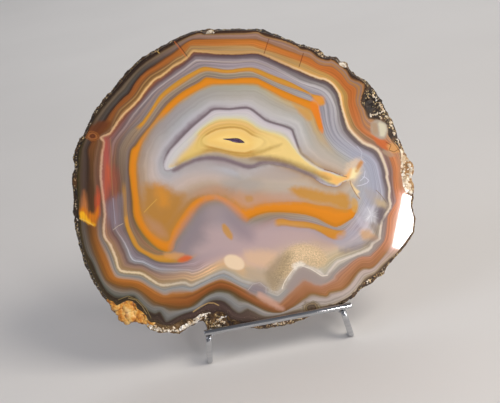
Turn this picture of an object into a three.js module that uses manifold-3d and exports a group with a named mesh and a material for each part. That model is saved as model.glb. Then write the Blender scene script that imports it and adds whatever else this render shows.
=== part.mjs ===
// A slice of banded agate, polished on both flat sides, leaning back on a small polished metal stand.
// Millimetres, +X to the right along the stand's front bar, +Y to the back, +Z up.
// The origin is on the surface that the stand stands on, under the middle of the whole object's box.
import * as THREE from "three";
import { mergeVertices } from "three/addons/utils/BufferGeometryUtils.js";
import Module from "manifold-3d";

const wasm = await Module();
wasm.setup();

// The slice
const SLICE_THICKNESS = 7;
const SLICE_LEAN = THREE.MathUtils.degToRad(22);
const SLICE_TURN = THREE.MathUtils.degToRad(10.7);
const SLICE_MIDDLE_HEIGHT = 83.5;
const RIM_COLUMNS = 350;
// How far the rough rim goes in and out, the most where the rim is widest, and the size of its knobs. Each
// knob carries finer ones, and the rim stays this far behind the polished face.
const RIM_ROUGHNESS = 0.42;
const RIM_ROUGHNESS_MOST = 1.1;
const RIM_GRAIN = 2.9;
const FINE_GRAIN_SHARE = 0.43;
const FINE_ROUGHNESS_SHARE = 0.5;
const RIM_LEAST_DROP = 0.15;
// The widest outline was read in a view from this far in front of the face. It lies deeper than the face, so
// it is larger by the share that its depth takes off in that view.
const VIEW_DISTANCE = 500;
const SLIT_WIDTH = 12;
const SLIT_HEIGHT = 2.4;
// The slit is fuller towards its right end, by this share of its height.
const SLIT_FULLNESS = 0.18;
const SLIT_POINTS = 22;
const REST_GAP = 0.35;

// The stand
const STAND_MIDDLE_X = 3.4;
const PLATE_THICKNESS = 3;
const LEG_TOP_HALF_SPACING = 33.8;
const FOOT_HALF_SPACING = 36.5;
const BAR_DIAMETER = 3;
const FRONT_BAR_LENGTH = 74.8;
const FRONT_BAR_SHIFT = 1.4;
const FRONT_BAR_BELOW_MIDDLE = 71;
const FRONT_BAR_BEFORE_FACE = 1.9;
const SEAT_BELOW_MIDDLE = 69.9;
const SEAT_DEPTH = 5;
const BACK_REST_DEPTH = 5;
const BACK_REST_TOP = -14;
const TOP_ROUNDING = 2;
const REAR_LEG_TOP = -22;
const REAR_LEG_JOINT = 8;
const REAR_FOOT_FRONT = 43.5;
const REAR_FOOT_DEPTH = 6;
const REAR_BAR_PLACE = 0.52;
const PLATE_GAP = 0.3;

// The front leg's two edges in the side view, from the sole up: how far behind the front bar's middle, and
// how high. The front edge curves like a nose, and the back edge runs up under the seat.
const FRONT_LEG_NOSE = [[0.9, 0], [-1.4, 4.6], [-2.3, 9.4], [-2.1, 13.4], [-1.2, 16.4]];
const FRONT_LEG_BACK = [[6.4, 0], [4.3, 3.5], [3.4, 7], [3.9, 9.6], [5.4, 10.9]];
const LEG_BEVEL = 1;
const REST_BEVEL = 0.7;
const BAR_CHAMFER = 0.5;
const BAR_SIDES = 20;

// The outlines are read on a grid of half-millimetre steps, x to the right and y down, in the plane of the
// polished face. TRACE_MIDDLE is the step at the slice's middle.
const TRACE_STEP = 0.5;
const TRACE_MIDDLE = [242, 181];

// The slice's widest outline, clockwise from its left side.
const WIDEST_OUTLINE = [
  [72, 184], [71.5, 180], [72.5, 175], [75, 168], [73.3, 161], [73, 157], [75, 150], [77, 145], [80, 138],
  [83, 135], [86, 129], [87.5, 124], [90.8, 119], [93.3, 113], [95.8, 109], [100, 104], [102.5, 100],
  [105.8, 96], [110, 91.7], [113.3, 88.3], [116.7, 85], [118.3, 81.3], [122.5, 77.5], [124.5, 74],
  [130, 69], [135, 64.3], [138.3, 61], [142.5, 57.5], [148.3, 54], [152.5, 51.7], [157.5, 49], [160, 46.7],
  [165.8, 44], [172.5, 40.3], [176.7, 38], [180, 36.2], [185, 34.8], [190, 32.5], [195, 30.8], [200, 30],
  [206, 30], [208, 28.6], [213, 29.4], [221.7, 29.2], [238, 28.4], [250, 28.8], [257, 28], [260, 30],
  [263, 29.4], [266, 31.2], [271, 32.5], [279, 35.8], [285, 38.6], [290, 40], [296, 42.3], [300.8, 45],
  [303, 44.3], [307, 45.9], [313.3, 47.8], [318.3, 48.8], [321, 51.3], [324, 55], [327, 55.8], [330, 55],
  [333, 56.8], [336, 57], [338.3, 59], [340.5, 61.6], [344, 61.5], [347, 63], [349, 68.3], [351, 70.8],
  [356, 74.6], [360, 77.5], [365, 80], [370, 85], [374.6, 90.8], [377.5, 95], [381, 100], [383.5, 105],
  [386, 110], [388.5, 116], [391, 119.5], [392.7, 123], [395, 129], [397, 134.5], [399.4, 139.5],
  [401.8, 146], [404.3, 152], [407, 157], [410, 161], [413.3, 165], [414.2, 168.5], [412.5, 176],
  [411, 178.5], [412.7, 182], [413.9, 186], [413.8, 192], [413.3, 197.5], [411.8, 205], [413.3, 212],
  [415.2, 218], [414.6, 225], [414.2, 232.5], [410.8, 237], [406.7, 243], [402.5, 249], [398.3, 254],
  [393.3, 259], [389.2, 263.3], [386, 268.5], [384, 273], [381, 275], [376.7, 278], [372.5, 282.5],
  [368.5, 285], [363.3, 287], [358.3, 291.7], [353.3, 296.7], [348.5, 300], [344.5, 303], [341, 303.8],
  [338, 304.4], [335, 307], [325, 311.5], [312, 315.5], [304, 318.4], [300.8, 320], [295, 321.8],
  [290.8, 323.3], [285, 325], [279, 326.3], [271, 327.5], [258.3, 328.8], [254, 327.6], [240, 328.4],
  [229, 329.4], [218, 329], [213.5, 328.3], [207, 328.4], [206.5, 325.5], [205, 322.4], [203, 320.6],
  [199, 321], [194, 324.3], [188.3, 327], [183.3, 331], [179, 333.4], [173.3, 333],
  [164, 332.2], [156.7, 332.2], [150, 329.2], [147, 326.7], [145.8, 323], [143, 324.3], [138.3, 321.7],
  [129, 322], [125.4, 324], [120.4, 320], [119.6, 316], [115.8, 313], [111.3, 309.3], [109.6, 303.5],
  [106.7, 301.3], [102.5, 296], [98.3, 290], [94.2, 283.5], [91.7, 278.3], [88.3, 271.8], [85.4, 266],
  [83, 258.3], [80.8, 250], [78.8, 243.3], [77.5, 237.5], [76.3, 233.3], [75.4, 230], [74.6, 217],
  [73.8, 212], [73.5, 200], [73, 190],
];

// The edge of the polished face. Outside it the stone slopes away rough: widest in the dark pocket at the
// upper right, in the crystals at the right and in the gold-brown lumps at the lower left.
const POLISHED_OUTLINE = [
  [77, 187], [77, 176], [78.5, 166], [77.5, 157], [79, 150], [81.5, 144], [84.5, 139], [88, 131],
  [90.5, 125], [93, 120.5], [96, 115], [98.5, 110.5], [102.5, 105.5], [106, 100], [109, 97], [113, 92.5],
  [118, 87], [122, 82], [126, 76.5], [131.5, 70.5], [136.5, 65.5], [144, 58.8], [150, 55], [154, 53.2],
  [158, 51], [161, 48.5], [167, 45.2], [173, 42], [180, 38], [186, 36], [191, 34], [196, 32.4], [201, 31.6],
  [206, 34.2], [213.5, 34], [216, 31.2], [222, 30.8], [238, 30.2], [250, 30.4], [256, 30.4], [260, 31.8],
  [266, 33.2], [279, 37.5], [290, 41.8], [296, 44.2], [300.5, 47], [304, 46.8], [308, 48.2], [313, 50.5],
  [317, 53.5], [320, 56.5], [324, 58.3], [330, 58.5], [333, 59], [336.5, 60.5], [340, 65.5], [344, 67.8],
  [347.2, 67.5], [349, 71], [352, 75], [356, 77], [360, 79.6], [364, 82], [367, 87], [365, 91],
  [362.7, 97], [361.7, 103], [365, 108], [367, 112], [369, 117.5], [374, 118.5], [383, 121], [388, 125.5],
  [388.5, 136], [392, 141], [397, 145], [400.5, 151], [401, 157], [400.5, 164], [400.5, 172], [402, 180],
  [403, 187], [406, 192.5], [411.5, 196.5], [410.3, 205], [412, 212], [413.8, 218], [413.2, 225],
  [412.5, 231.5], [409.5, 235.8], [405.3, 241.5], [401, 247.5], [396.8, 252.5], [392, 257.5],
  [387.5, 262], [383.5, 266.5], [379.5, 270.5], [376, 274], [370, 278], [364, 282], [358, 288.5],
  [352.5, 294], [347.5, 297.5], [343, 300], [336, 303.5], [324, 307.8], [311, 311.8], [302, 314.5],
  [293, 317.5], [284, 320.5], [270, 323.3], [258, 324], [246, 322.5], [238, 321], [230, 318.5],
  [227, 314.5], [222, 311.8], [217, 311.5], [213.5, 314], [211, 312.5], [205, 311], [201, 313],
  [197, 316.5], [192, 319], [187, 319.5], [181, 320.5], [176, 323.5], [172, 325.5], [166, 325.8],
  [160, 324], [156, 322], [151, 322.5], [148, 320], [146, 315.5], [142, 311.5], [137, 308.5],
  [136, 304.5], [133, 301.5], [127.5, 300.2], [122.5, 302.5], [118.5, 305.5], [116, 305], [113, 301.5],
  [110, 300.5], [107.5, 298.5], [104.5, 294], [100.5, 288.5], [97, 283], [94, 277.5], [91, 271],
  [88, 265], [85.5, 257.5], [83.5, 250], [81.5, 243], [80.3, 237], [79.8, 230], [79, 217], [78, 208],
  [77.5, 197],
];

// The middle of the slit, on the same grid.
const SLIT_MIDDLE = [233.5, 140.3];
const SLIT_TILT = THREE.MathUtils.degToRad(-9);

// The rim's rings, from the polished edge to the rear edge: how far out from the polished edge to the widest
// outline, how deep below the face, and how far inside that line, in millimetres.
const RIM_RINGS = [
  { out: 0, depth: 0, inside: 0 },
  { out: 0.05, depth: 0.7, inside: 0 },
  { out: 0.28, depth: 1.2, inside: 0 },
  { out: 0.52, depth: 1.5, inside: 0 },
  { out: 0.76, depth: 2, inside: 0 },
  { out: 1, depth: 3.1, inside: 0 },
  { out: 1, depth: 4.7, inside: 0.1 },
  { out: 1, depth: 6.1, inside: 0.35 },
  { out: 1, depth: SLICE_THICKNESS, inside: 0.9 },
];

// Crystals that stand in the rough parts of the rim: where they start and end round the rim, as steps of the
// traced grid, with how many there are, how large they are, and over what share of the rim's width they
// spread inward.
const CRYSTAL_PATCHES = [
  { from: [366, 88], to: [392, 123], count: 16, size: 1.5, spread: 0.8 },
  { from: [393, 128], to: [413, 190], count: 20, size: 1.7, spread: 0.7 },
  { from: [226, 322], to: [147, 326], count: 22, size: 1.5, spread: 0.6 },
  { from: [206, 30], to: [214, 30], count: 3, size: 1.7, spread: 0.5 },
  { from: [341, 62], to: [347, 64], count: 3, size: 1.6, spread: 0.5 },
  { from: [386, 268], to: [366, 285], count: 5, size: 1.1, spread: 0.5 },
  { from: [76, 184], to: [75, 150], count: 5, size: 1.1, spread: 0.6 },
];
const LUMP_PATCH = { from: [146, 325], to: [111, 303], count: 16, size: 3.3, spread: 0.8 };

// How deep the crystals and lumps sit: at the polished edge, how much deeper at the widest outline, and how
// much that varies.
const SEAT_DEPTH_INSIDE = 1;
const SEAT_DEPTH_DROP = 2.2;
const SEAT_DEPTH_SPREAD = 1.2;

// A crystal: its six-sided prism and point as [distance from its axis, height] in shares of its size, how
// its size varies, how far it leans out of the rim, and how far that and its direction vary, in radians.
const CRYSTAL_SIDE = [[0, -1], [0.55, -1], [0.5, 0.35], [0, 0.95]];
const CRYSTAL_SIDES = 6;
const CRYSTAL_SIZE_SPREAD = 0.35;
const CRYSTAL_LEAN = 0.9;
const CRYSTAL_LEAN_SPREAD = 1.4;
const CRYSTAL_TURN_SPREAD = 1.2;
const CRYSTAL_LEAST_DEPTH = 0.4;

// A lump: its shape in shares of its size, how its size varies, and how deep its middle sits.
const LUMP_SHAPE = [1, 0.9, 0.62];
const LUMP_SIZE_LEAST = 0.55;
const LUMP_SIZE_SPREAD = 0.6;
const LUMP_DEPTH = 2.2;
const LUMP_SINK_SHARE = 0.3;
const LUMP_INSIDE_SHARE = 0.7;

// Each seat's clearance in the stone: how much wider than the leg and longer than the stone is thick.
const CLEARANCE_SIDE = 1;
const CLEARANCE_LENGTH = 20;

const STONE = new THREE.MeshStandardMaterial({ name: "agate", color: 0xa8957f, roughness: 0.12 });
const METAL = new THREE.MeshStandardMaterial({ name: "metal", color: 0xc9ccd1, metalness: 1 });

// Seeded random numbers, so the stone is the same each time.
function randomFrom(seed) {
  let state = seed;
  return () => {
    state = (state + 0x6d2b79f5) | 0;
    let t = Math.imul(state ^ (state >>> 15), 1 | state);
    t = (t + Math.imul(t ^ (t >>> 7), 61 | t)) ^ t;
    return ((t ^ (t >>> 14)) >>> 0) / 4294967296;
  };
}

// Smooth noise between -1 and 1 from random values at whole-number places.
function noise(x, y, z) {
  const cell = [x, y, z].map(Math.floor);
  const part = [x - cell[0], y - cell[1], z - cell[2]].map((t) => t * t * (3 - 2 * t));
  let sum = 0;
  for (let corner = 0; corner < 8; corner += 1) {
    const bit = [corner & 1, (corner >> 1) & 1, corner >> 2];
    const place = bit.map((b, axis) => cell[axis] + b);
    const value = Math.sin(place[0] * 127.1 + place[1] * 311.7 + place[2] * 74.7) * 43758.5453;
    const weight = bit.reduce((w, b, axis) => w * (b ? part[axis] : 1 - part[axis]), 1);
    sum += weight * ((value - Math.floor(value)) * 2 - 1);
  }
  return sum;
}

// A step of the traced grid as millimetres from the slice's middle, right and up in the plane of the face.
function fromTrace([x, y]) {
  return new THREE.Vector2((x - TRACE_MIDDLE[0]) * TRACE_STEP, (TRACE_MIDDLE[1] - y) * TRACE_STEP);
}

// The distance from the middle to a traced outline in every direction: points sorted by their angle, with
// straight lines between them.
function radiusOf(outline) {
  const points = outline.map(fromTrace).map((p) => ({ x: p.x, y: p.y, angle: p.angle() }));
  points.sort((a, b) => a.angle - b.angle);
  return (angle) => {
    const turn = THREE.MathUtils.euclideanModulo(angle, 2 * Math.PI);
    let next = points.findIndex((p) => p.angle > turn);
    if (next < 0) next = 0;
    const a = points[(next + points.length - 1) % points.length];
    const b = points[next];
    const direction = new THREE.Vector2(Math.cos(turn), Math.sin(turn));
    const edge = new THREE.Vector2(b.x - a.x, b.y - a.y);
    const across = direction.x * edge.y - direction.y * edge.x;
    return (a.x * edge.y - a.y * edge.x) / across;
  };
}

const widestRadius = radiusOf(WIDEST_OUTLINE);
const polishedRadius = radiusOf(POLISHED_OUTLINE);

// A point of the rim: out 0 is the polished edge and 1 the widest outline, at a depth below the face.
function rimPoint(angle, { out, depth, inside }) {
  const inner = polishedRadius(angle);
  const outer = widestRadius(angle);
  const radius = (inner + (outer - inner) * out) * (1 + depth / VIEW_DISTANCE) - inside;
  const point = new THREE.Vector3(radius * Math.cos(angle), radius * Math.sin(angle), -depth);
  if (depth === 0 || depth === SLICE_THICKNESS) return point;
  const grain = point.clone().divideScalar(RIM_GRAIN);
  const width = (outer - inner) * out;
  const height = Math.min(RIM_ROUGHNESS * (1 + width / RIM_GRAIN), RIM_ROUGHNESS_MOST);
  const fine = grain.clone().divideScalar(FINE_GRAIN_SHARE);
  const finer = noise(fine.x, fine.y, fine.z);
  const rough = noise(grain.x, grain.y, grain.z) + FINE_ROUGHNESS_SHARE * finer;
  point.x += Math.cos(angle) * RIM_ROUGHNESS * out * rough;
  point.y += Math.sin(angle) * RIM_ROUGHNESS * out * rough;
  point.z = Math.min(point.z + height * rough * Math.min(1, width), -RIM_LEAST_DROP * out);
  return point;
}

// A closed solid from a mesh's triangles.
function solidOf(geometry) {
  const clean = geometry.clone();
  clean.deleteAttribute("normal");
  clean.deleteAttribute("uv");
  const merged = mergeVertices(clean, 1e-4);
  return new wasm.Manifold(
    new wasm.Mesh({
      numProp: 3,
      vertProperties: new Float32Array(merged.attributes.position.array),
      triVerts: new Uint32Array(merged.index.array),
    }),
  );
}

// A mesh's geometry from a closed solid.
function geometryOf(solid) {
  const mesh = solid.getMesh();
  const geometry = new THREE.BufferGeometry();
  const positions = new Float32Array(mesh.vertProperties);
  geometry.setAttribute("position", new THREE.BufferAttribute(positions, 3));
  geometry.setIndex(new THREE.BufferAttribute(new Uint32Array(mesh.triVerts), 1));
  geometry.computeVertexNormals();
  return geometry;
}

// The slice's body: the polished face, the rough rim's rings and the rear face, in the face's own plane, with
// z 0 at the polished face.
function sliceBody() {
  const positions = [];
  const index = [];
  for (const ring of RIM_RINGS) {
    for (let column = 0; column < RIM_COLUMNS; column += 1) {
      positions.push(...rimPoint((column / RIM_COLUMNS) * 2 * Math.PI, ring).toArray());
    }
  }
  for (let ring = 0; ring < RIM_RINGS.length - 1; ring += 1) {
    for (let column = 0; column < RIM_COLUMNS; column += 1) {
      const next = (column + 1) % RIM_COLUMNS;
      const [a, b] = [ring * RIM_COLUMNS + column, ring * RIM_COLUMNS + next];
      const [c, d] = [a + RIM_COLUMNS, b + RIM_COLUMNS];
      index.push(a, c, b, b, c, d);
    }
  }
  const last = (RIM_RINGS.length - 1) * RIM_COLUMNS;
  const cornerAt = (place) => new THREE.Vector2(positions[3 * place], positions[3 * place + 1]);
  const edgeOf = (start) => Array.from({ length: RIM_COLUMNS }, (_, column) => cornerAt(start + column));
  for (const [a, b, c] of THREE.ShapeUtils.triangulateShape(edgeOf(0), [])) index.push(a, b, c);
  for (const [a, b, c] of THREE.ShapeUtils.triangulateShape(edgeOf(last), [])) {
    index.push(last + a, last + c, last + b);
  }
  const geometry = new THREE.BufferGeometry();
  geometry.setAttribute("position", new THREE.Float32BufferAttribute(positions, 3));
  geometry.setIndex(index);
  return solidOf(geometry);
}

// The slit, lens-shaped and open right through, a little longer than the slice is thick.
function slitCutter() {
  const middle = fromTrace(SLIT_MIDDLE);
  const points = [];
  for (let i = 0; i < SLIT_POINTS; i += 1) {
    const angle = (i / SLIT_POINTS) * 2 * Math.PI;
    const fullness = Math.abs(Math.sin(angle)) * (1 + SLIT_FULLNESS * Math.cos(angle));
    const x = (SLIT_WIDTH / 2) * Math.cos(angle);
    const y = (SLIT_HEIGHT / 2) * Math.sign(Math.sin(angle)) * fullness;
    points.push(new THREE.Vector2(x, y).rotateAround(new THREE.Vector2(), SLIT_TILT).add(middle));
  }
  const length = SLICE_THICKNESS + 2;
  const shape = new THREE.Shape(points);
  const geometry = new THREE.ExtrudeGeometry(shape, { depth: length, bevelEnabled: false });
  geometry.translate(0, 0, 1 - length);
  return solidOf(geometry);
}

// The angle round the rim of a step of the traced grid.
function rimAngle(step) {
  return fromTrace(step).angle();
}

// A place on the rough rim, between two steps round it, seeded.
function rimPlace(patch, random) {
  const start = rimAngle(patch.from);
  let sweep = rimAngle(patch.to) - start;
  if (sweep > Math.PI) sweep -= 2 * Math.PI;
  if (sweep < -Math.PI) sweep += 2 * Math.PI;
  const out = 1 - patch.spread * random();
  const depth = SEAT_DEPTH_INSIDE + SEAT_DEPTH_DROP * out + SEAT_DEPTH_SPREAD * random();
  return { angle: start + sweep * random(), out, depth };
}

// One crystal: a six-sided prism with a pointed end, standing out from the rim and leaning its own way.
function crystal(patch, random) {
  const { angle, out, depth } = rimPlace(patch, random);
  const size = patch.size * (1 - CRYSTAL_SIZE_SPREAD + 2 * CRYSTAL_SIZE_SPREAD * random());
  const profile = CRYSTAL_SIDE.map(([x, y]) => new THREE.Vector2(x * size, y * size));
  const geometry = new THREE.LatheGeometry(profile, CRYSTAL_SIDES);
  geometry.rotateX(CRYSTAL_LEAN + (random() - 0.5) * CRYSTAL_LEAN_SPREAD);
  geometry.rotateZ(angle - Math.PI / 2 + (random() - 0.5) * CRYSTAL_TURN_SPREAD);
  const base = rimPoint(angle, { out, depth, inside: size / 2 });
  geometry.translate(base.x, base.y, Math.min(base.z, -CRYSTAL_LEAST_DEPTH - size / 2));
  return solidOf(geometry);
}

// One rounded lump of the gold-brown knobs.
function lump(patch, random) {
  const { angle, out } = rimPlace(patch, random);
  const size = patch.size * (LUMP_SIZE_LEAST + LUMP_SIZE_SPREAD * random());
  const geometry = new THREE.IcosahedronGeometry(size, 1);
  geometry.scale(...LUMP_SHAPE);
  const base = rimPoint(angle, { out, depth: LUMP_DEPTH, inside: LUMP_INSIDE_SHARE * size });
  geometry.translate(base.x, base.y, base.z - LUMP_SINK_SHARE * size);
  return solidOf(geometry);
}

// Whatever stands out past the two sawn planes or the widest outline's reach is cut back to them.
function betweenPlanes() {
  const half = 100;
  const geometry = new THREE.BoxGeometry(2 * half, 2 * half, SLICE_THICKNESS);
  geometry.translate(0, 0, -SLICE_THICKNESS / 2);
  return solidOf(geometry);
}

// From the face's own plane into the slice's place: turned in its plane, leant back, raised.
function slicePlace() {
  const turn = new THREE.Matrix4().makeRotationZ(-SLICE_TURN);
  const stand = new THREE.Matrix4().makeRotationX(Math.PI / 2 - SLICE_LEAN);
  const raise = new THREE.Matrix4().makeTranslation(0, 0, SLICE_MIDDLE_HEIGHT);
  return raise.multiply(stand).multiply(turn);
}

// A point of the slice's lean in the stand's side view: up along the face from the slice's middle, and out in
// front of the polished face. Gives [y, z].
function onLean(up, front) {
  return [
    up * Math.sin(SLICE_LEAN) - front * Math.cos(SLICE_LEAN),
    SLICE_MIDDLE_HEIGHT + up * Math.cos(SLICE_LEAN) + front * Math.sin(SLICE_LEAN),
  ];
}

// An upright plate of the stand from its outline in the side view, [y, z] points, at a place along X.
function plate(outline, x, bevel) {
  const shape = new THREE.Shape(outline.map(([y, z]) => new THREE.Vector2(y, z)));
  const geometry = new THREE.ExtrudeGeometry(shape, {
    depth: PLATE_THICKNESS - 2 * bevel,
    bevelEnabled: true,
    bevelThickness: bevel,
    bevelSize: bevel,
    bevelOffset: -bevel,
    bevelSegments: 2,
  });
  geometry.translate(0, 0, bevel - PLATE_THICKNESS / 2);
  const upright = new THREE.Matrix4().set(0, 0, 1, x, 1, 0, 0, 0, 0, 1, 0, 0, 0, 0, 0, 1);
  return geometry.applyMatrix4(upright);
}

const [barY, barZ] = onLean(-FRONT_BAR_BELOW_MIDDLE, FRONT_BAR_BEFORE_FACE);
const barRadius = BAR_DIAMETER / 2;
const bottomBehindSlice = -SLICE_THICKNESS - REST_GAP;

// The front leg in the side view: a curved nose under the front bar, the seat behind the bar, and the foot.
function frontLegOutline() {
  const notchZ = barZ - barRadius - PLATE_GAP;
  const notchY = barY + barRadius + PLATE_GAP;
  const seatZ = (y) => {
    const [seatY, seatHeight] = onLean(-SEAT_BELOW_MIDDLE, 0);
    return seatHeight - (y - seatY) * Math.tan(SLICE_LEAN);
  };
  const seatEndTop = onLean(-SEAT_BELOW_MIDDLE, bottomBehindSlice + PLATE_GAP / 2);
  const seatEndBottom = onLean(-SEAT_BELOW_MIDDLE - SEAT_DEPTH, bottomBehindSlice + PLATE_GAP / 2);
  const behindBar = ([behind, height]) => [barY + behind, height];
  return [
    ...FRONT_LEG_BACK.map(behindBar),
    seatEndBottom,
    seatEndTop,
    [notchY, seatZ(notchY)],
    [notchY, notchZ],
    ...FRONT_LEG_NOSE.map(behindBar).reverse(),
  ];
}

// Spreads a front leg outward towards its foot, with the sole still flat.
function splay(geometry, side) {
  const spread = FOOT_HALF_SPACING - LEG_TOP_HALF_SPACING;
  const position = geometry.attributes.position;
  for (let i = 0; i < position.count; i += 1) {
    const below = THREE.MathUtils.clamp(1 - position.getZ(i) / barZ, 0, 1);
    position.setX(i, position.getX(i) + side * spread * below);
  }
  return geometry;
}

function backRestOutline() {
  const front = bottomBehindSlice - PLATE_GAP / 2;
  const middle = front - BACK_REST_DEPTH / 2;
  const bottom = -SEAT_BELOW_MIDDLE - SEAT_DEPTH;
  const roundTop = [0, 1, 2, 3, 4].map((i) => {
    const angle = (i / 4) * Math.PI;
    const across = (BACK_REST_DEPTH / 2) * Math.cos(angle);
    return onLean(BACK_REST_TOP + TOP_ROUNDING * Math.sin(angle), middle - across);
  });
  return [onLean(bottom, front), onLean(bottom, front - BACK_REST_DEPTH), ...roundTop];
}

function rearLegOutline() {
  const joint = bottomBehindSlice - PLATE_GAP / 2 - BACK_REST_DEPTH - PLATE_GAP;
  const top = onLean(REAR_LEG_TOP, joint);
  const bottom = onLean(REAR_LEG_TOP - REAR_LEG_JOINT, joint);
  return [bottom, [REAR_FOOT_FRONT, 0], [REAR_FOOT_FRONT + REAR_FOOT_DEPTH, 0], top];
}

// A round bar along X with chamfered ends.
function roundBar(length, x, y, z) {
  const profile = [
    new THREE.Vector2(0, -length / 2),
    new THREE.Vector2(barRadius - BAR_CHAMFER, -length / 2),
    new THREE.Vector2(barRadius, -length / 2 + BAR_CHAMFER),
    new THREE.Vector2(barRadius, length / 2 - BAR_CHAMFER),
    new THREE.Vector2(barRadius - BAR_CHAMFER, length / 2),
    new THREE.Vector2(0, length / 2),
  ];
  const geometry = new THREE.LatheGeometry(profile, BAR_SIDES);
  geometry.rotateZ(-Math.PI / 2);
  return geometry.translate(x, y, z);
}

// The slice with its crystals and lumps, cut clear of the two seats that it rests on.
function sliceSolid() {
  const random = randomFrom(7);
  let slice = sliceBody();
  for (const patch of CRYSTAL_PATCHES) {
    for (let i = 0; i < patch.count; i += 1) slice = slice.add(crystal(patch, random));
  }
  for (let i = 0; i < LUMP_PATCH.count; i += 1) slice = slice.add(lump(LUMP_PATCH, random));
  slice = slice.subtract(slitCutter()).intersect(betweenPlanes());
  slice = slice.transform(slicePlace().toArray());
  for (const side of [-1, 1]) {
    const clearance = new THREE.BoxGeometry(PLATE_THICKNESS + CLEARANCE_SIDE, CLEARANCE_LENGTH, SEAT_DEPTH);
    clearance.translate(0, 0, -SEAT_DEPTH / 2);
    clearance.rotateX(-SLICE_LEAN);
    const [y, z] = onLean(-SEAT_BELOW_MIDDLE + REST_GAP, -SLICE_THICKNESS / 2);
    clearance.translate(STAND_MIDDLE_X + side * LEG_TOP_HALF_SPACING, y, z);
    slice = slice.subtract(solidOf(clearance));
  }
  return geometryOf(slice);
}

const object = new THREE.Group();

function addPiece(name, geometry, material) {
  const mesh = new THREE.Mesh(geometry, material);
  mesh.name = name;
  object.add(mesh);
}

addPiece("agate_slice", sliceSolid(), STONE);
addPiece("front_bar", roundBar(FRONT_BAR_LENGTH, STAND_MIDDLE_X + FRONT_BAR_SHIFT, barY, barZ), METAL);
for (const [side, word] of [[-1, "left"], [1, "right"]]) {
  const x = STAND_MIDDLE_X + side * LEG_TOP_HALF_SPACING;
  addPiece(`front_leg_${word}`, splay(plate(frontLegOutline(), x, LEG_BEVEL), side), METAL);
  addPiece(`back_rest_${word}`, plate(backRestOutline(), x, REST_BEVEL), METAL);
  addPiece(`rear_leg_${word}`, plate(rearLegOutline(), x, REST_BEVEL), METAL);
}
const rearLeg = rearLegOutline();
const rearLegTopMiddle = [(rearLeg[0][0] + rearLeg[3][0]) / 2, (rearLeg[0][1] + rearLeg[3][1]) / 2];
const rearFootMiddle = REAR_FOOT_FRONT + REAR_FOOT_DEPTH / 2;
addPiece(
  "rear_bar",
  roundBar(
    2 * LEG_TOP_HALF_SPACING - PLATE_THICKNESS - 2 * PLATE_GAP,
    STAND_MIDDLE_X,
    THREE.MathUtils.lerp(rearLegTopMiddle[0], rearFootMiddle, REAR_BAR_PLACE),
    THREE.MathUtils.lerp(rearLegTopMiddle[1], 0, REAR_BAR_PLACE),
  ),
  METAL,
);

// The origin goes under the middle of the whole object.
const box = new THREE.Box3().setFromObject(object);
const middle = box.getCenter(new THREE.Vector3());
object.position.set(-middle.x, -middle.y, -box.min.z);
object.updateMatrixWorld(true);

export default object;
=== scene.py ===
"""A slice of banded agate on its small polished stand, in metres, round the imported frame."""
import math
import random

import bmesh
import bpy
import numpy as np
from mathutils import Matrix, Vector, noise
from mathutils.geometry import delaunay_2d_cdt


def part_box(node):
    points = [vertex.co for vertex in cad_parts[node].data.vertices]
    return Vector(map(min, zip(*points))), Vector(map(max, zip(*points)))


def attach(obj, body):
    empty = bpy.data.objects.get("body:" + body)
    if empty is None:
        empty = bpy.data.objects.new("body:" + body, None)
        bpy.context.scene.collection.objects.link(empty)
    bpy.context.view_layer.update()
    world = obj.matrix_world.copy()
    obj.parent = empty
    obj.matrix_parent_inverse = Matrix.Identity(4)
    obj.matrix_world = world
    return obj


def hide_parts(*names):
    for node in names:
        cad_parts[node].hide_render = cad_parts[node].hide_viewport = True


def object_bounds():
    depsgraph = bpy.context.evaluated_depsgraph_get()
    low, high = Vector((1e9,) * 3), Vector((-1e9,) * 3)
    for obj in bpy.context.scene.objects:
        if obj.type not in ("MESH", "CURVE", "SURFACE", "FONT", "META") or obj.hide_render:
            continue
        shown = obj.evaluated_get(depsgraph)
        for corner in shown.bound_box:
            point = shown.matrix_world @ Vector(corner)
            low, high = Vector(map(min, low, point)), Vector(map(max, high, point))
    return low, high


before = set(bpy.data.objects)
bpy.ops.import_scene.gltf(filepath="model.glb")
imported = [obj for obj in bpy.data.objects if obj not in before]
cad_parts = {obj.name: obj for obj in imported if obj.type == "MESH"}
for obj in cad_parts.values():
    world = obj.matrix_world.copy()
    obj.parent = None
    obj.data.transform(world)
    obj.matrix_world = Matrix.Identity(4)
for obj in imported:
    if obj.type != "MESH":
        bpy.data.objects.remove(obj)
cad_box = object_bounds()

MM = 0.001

# The slice, in millimetres, with its lean and its turn in its own plane
THICKNESS = 7.0
LEAN = math.radians(22)
TURN = math.radians(10.7)
MIDDLE_HEIGHT = 83.5
# How finely it is drawn: columns round its rim, grid steps on its front and back (mm), points round the slit
RIM_COLUMNS = 760
FACE_STEP = 0.74
BACK_STEP = 1.2
SLIT_POINTS = 44
# What is left of the slit's height at its waist: almost nothing, so the slit is nearly shut and its dark
# walls show as painted shade where the open slit would show shade behind the stone
SLIT_WAIST = 0.03
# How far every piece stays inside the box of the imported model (mm)
BOX_MARGIN = 0.02
# How far the rim and its crystals stay behind the polished face, and the crystals before the back
RIM_BELOW_FACE = 0.12
CRYSTALS_BELOW_FACE = 0.08
CRYSTALS_BEFORE_BACK = 0.1

# The widest outline lies behind the face, so it is drawn larger by the share that its depth takes off in
# a view from this far in front of the face, in millimetres.
VIEW_DISTANCE = 500.0

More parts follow.
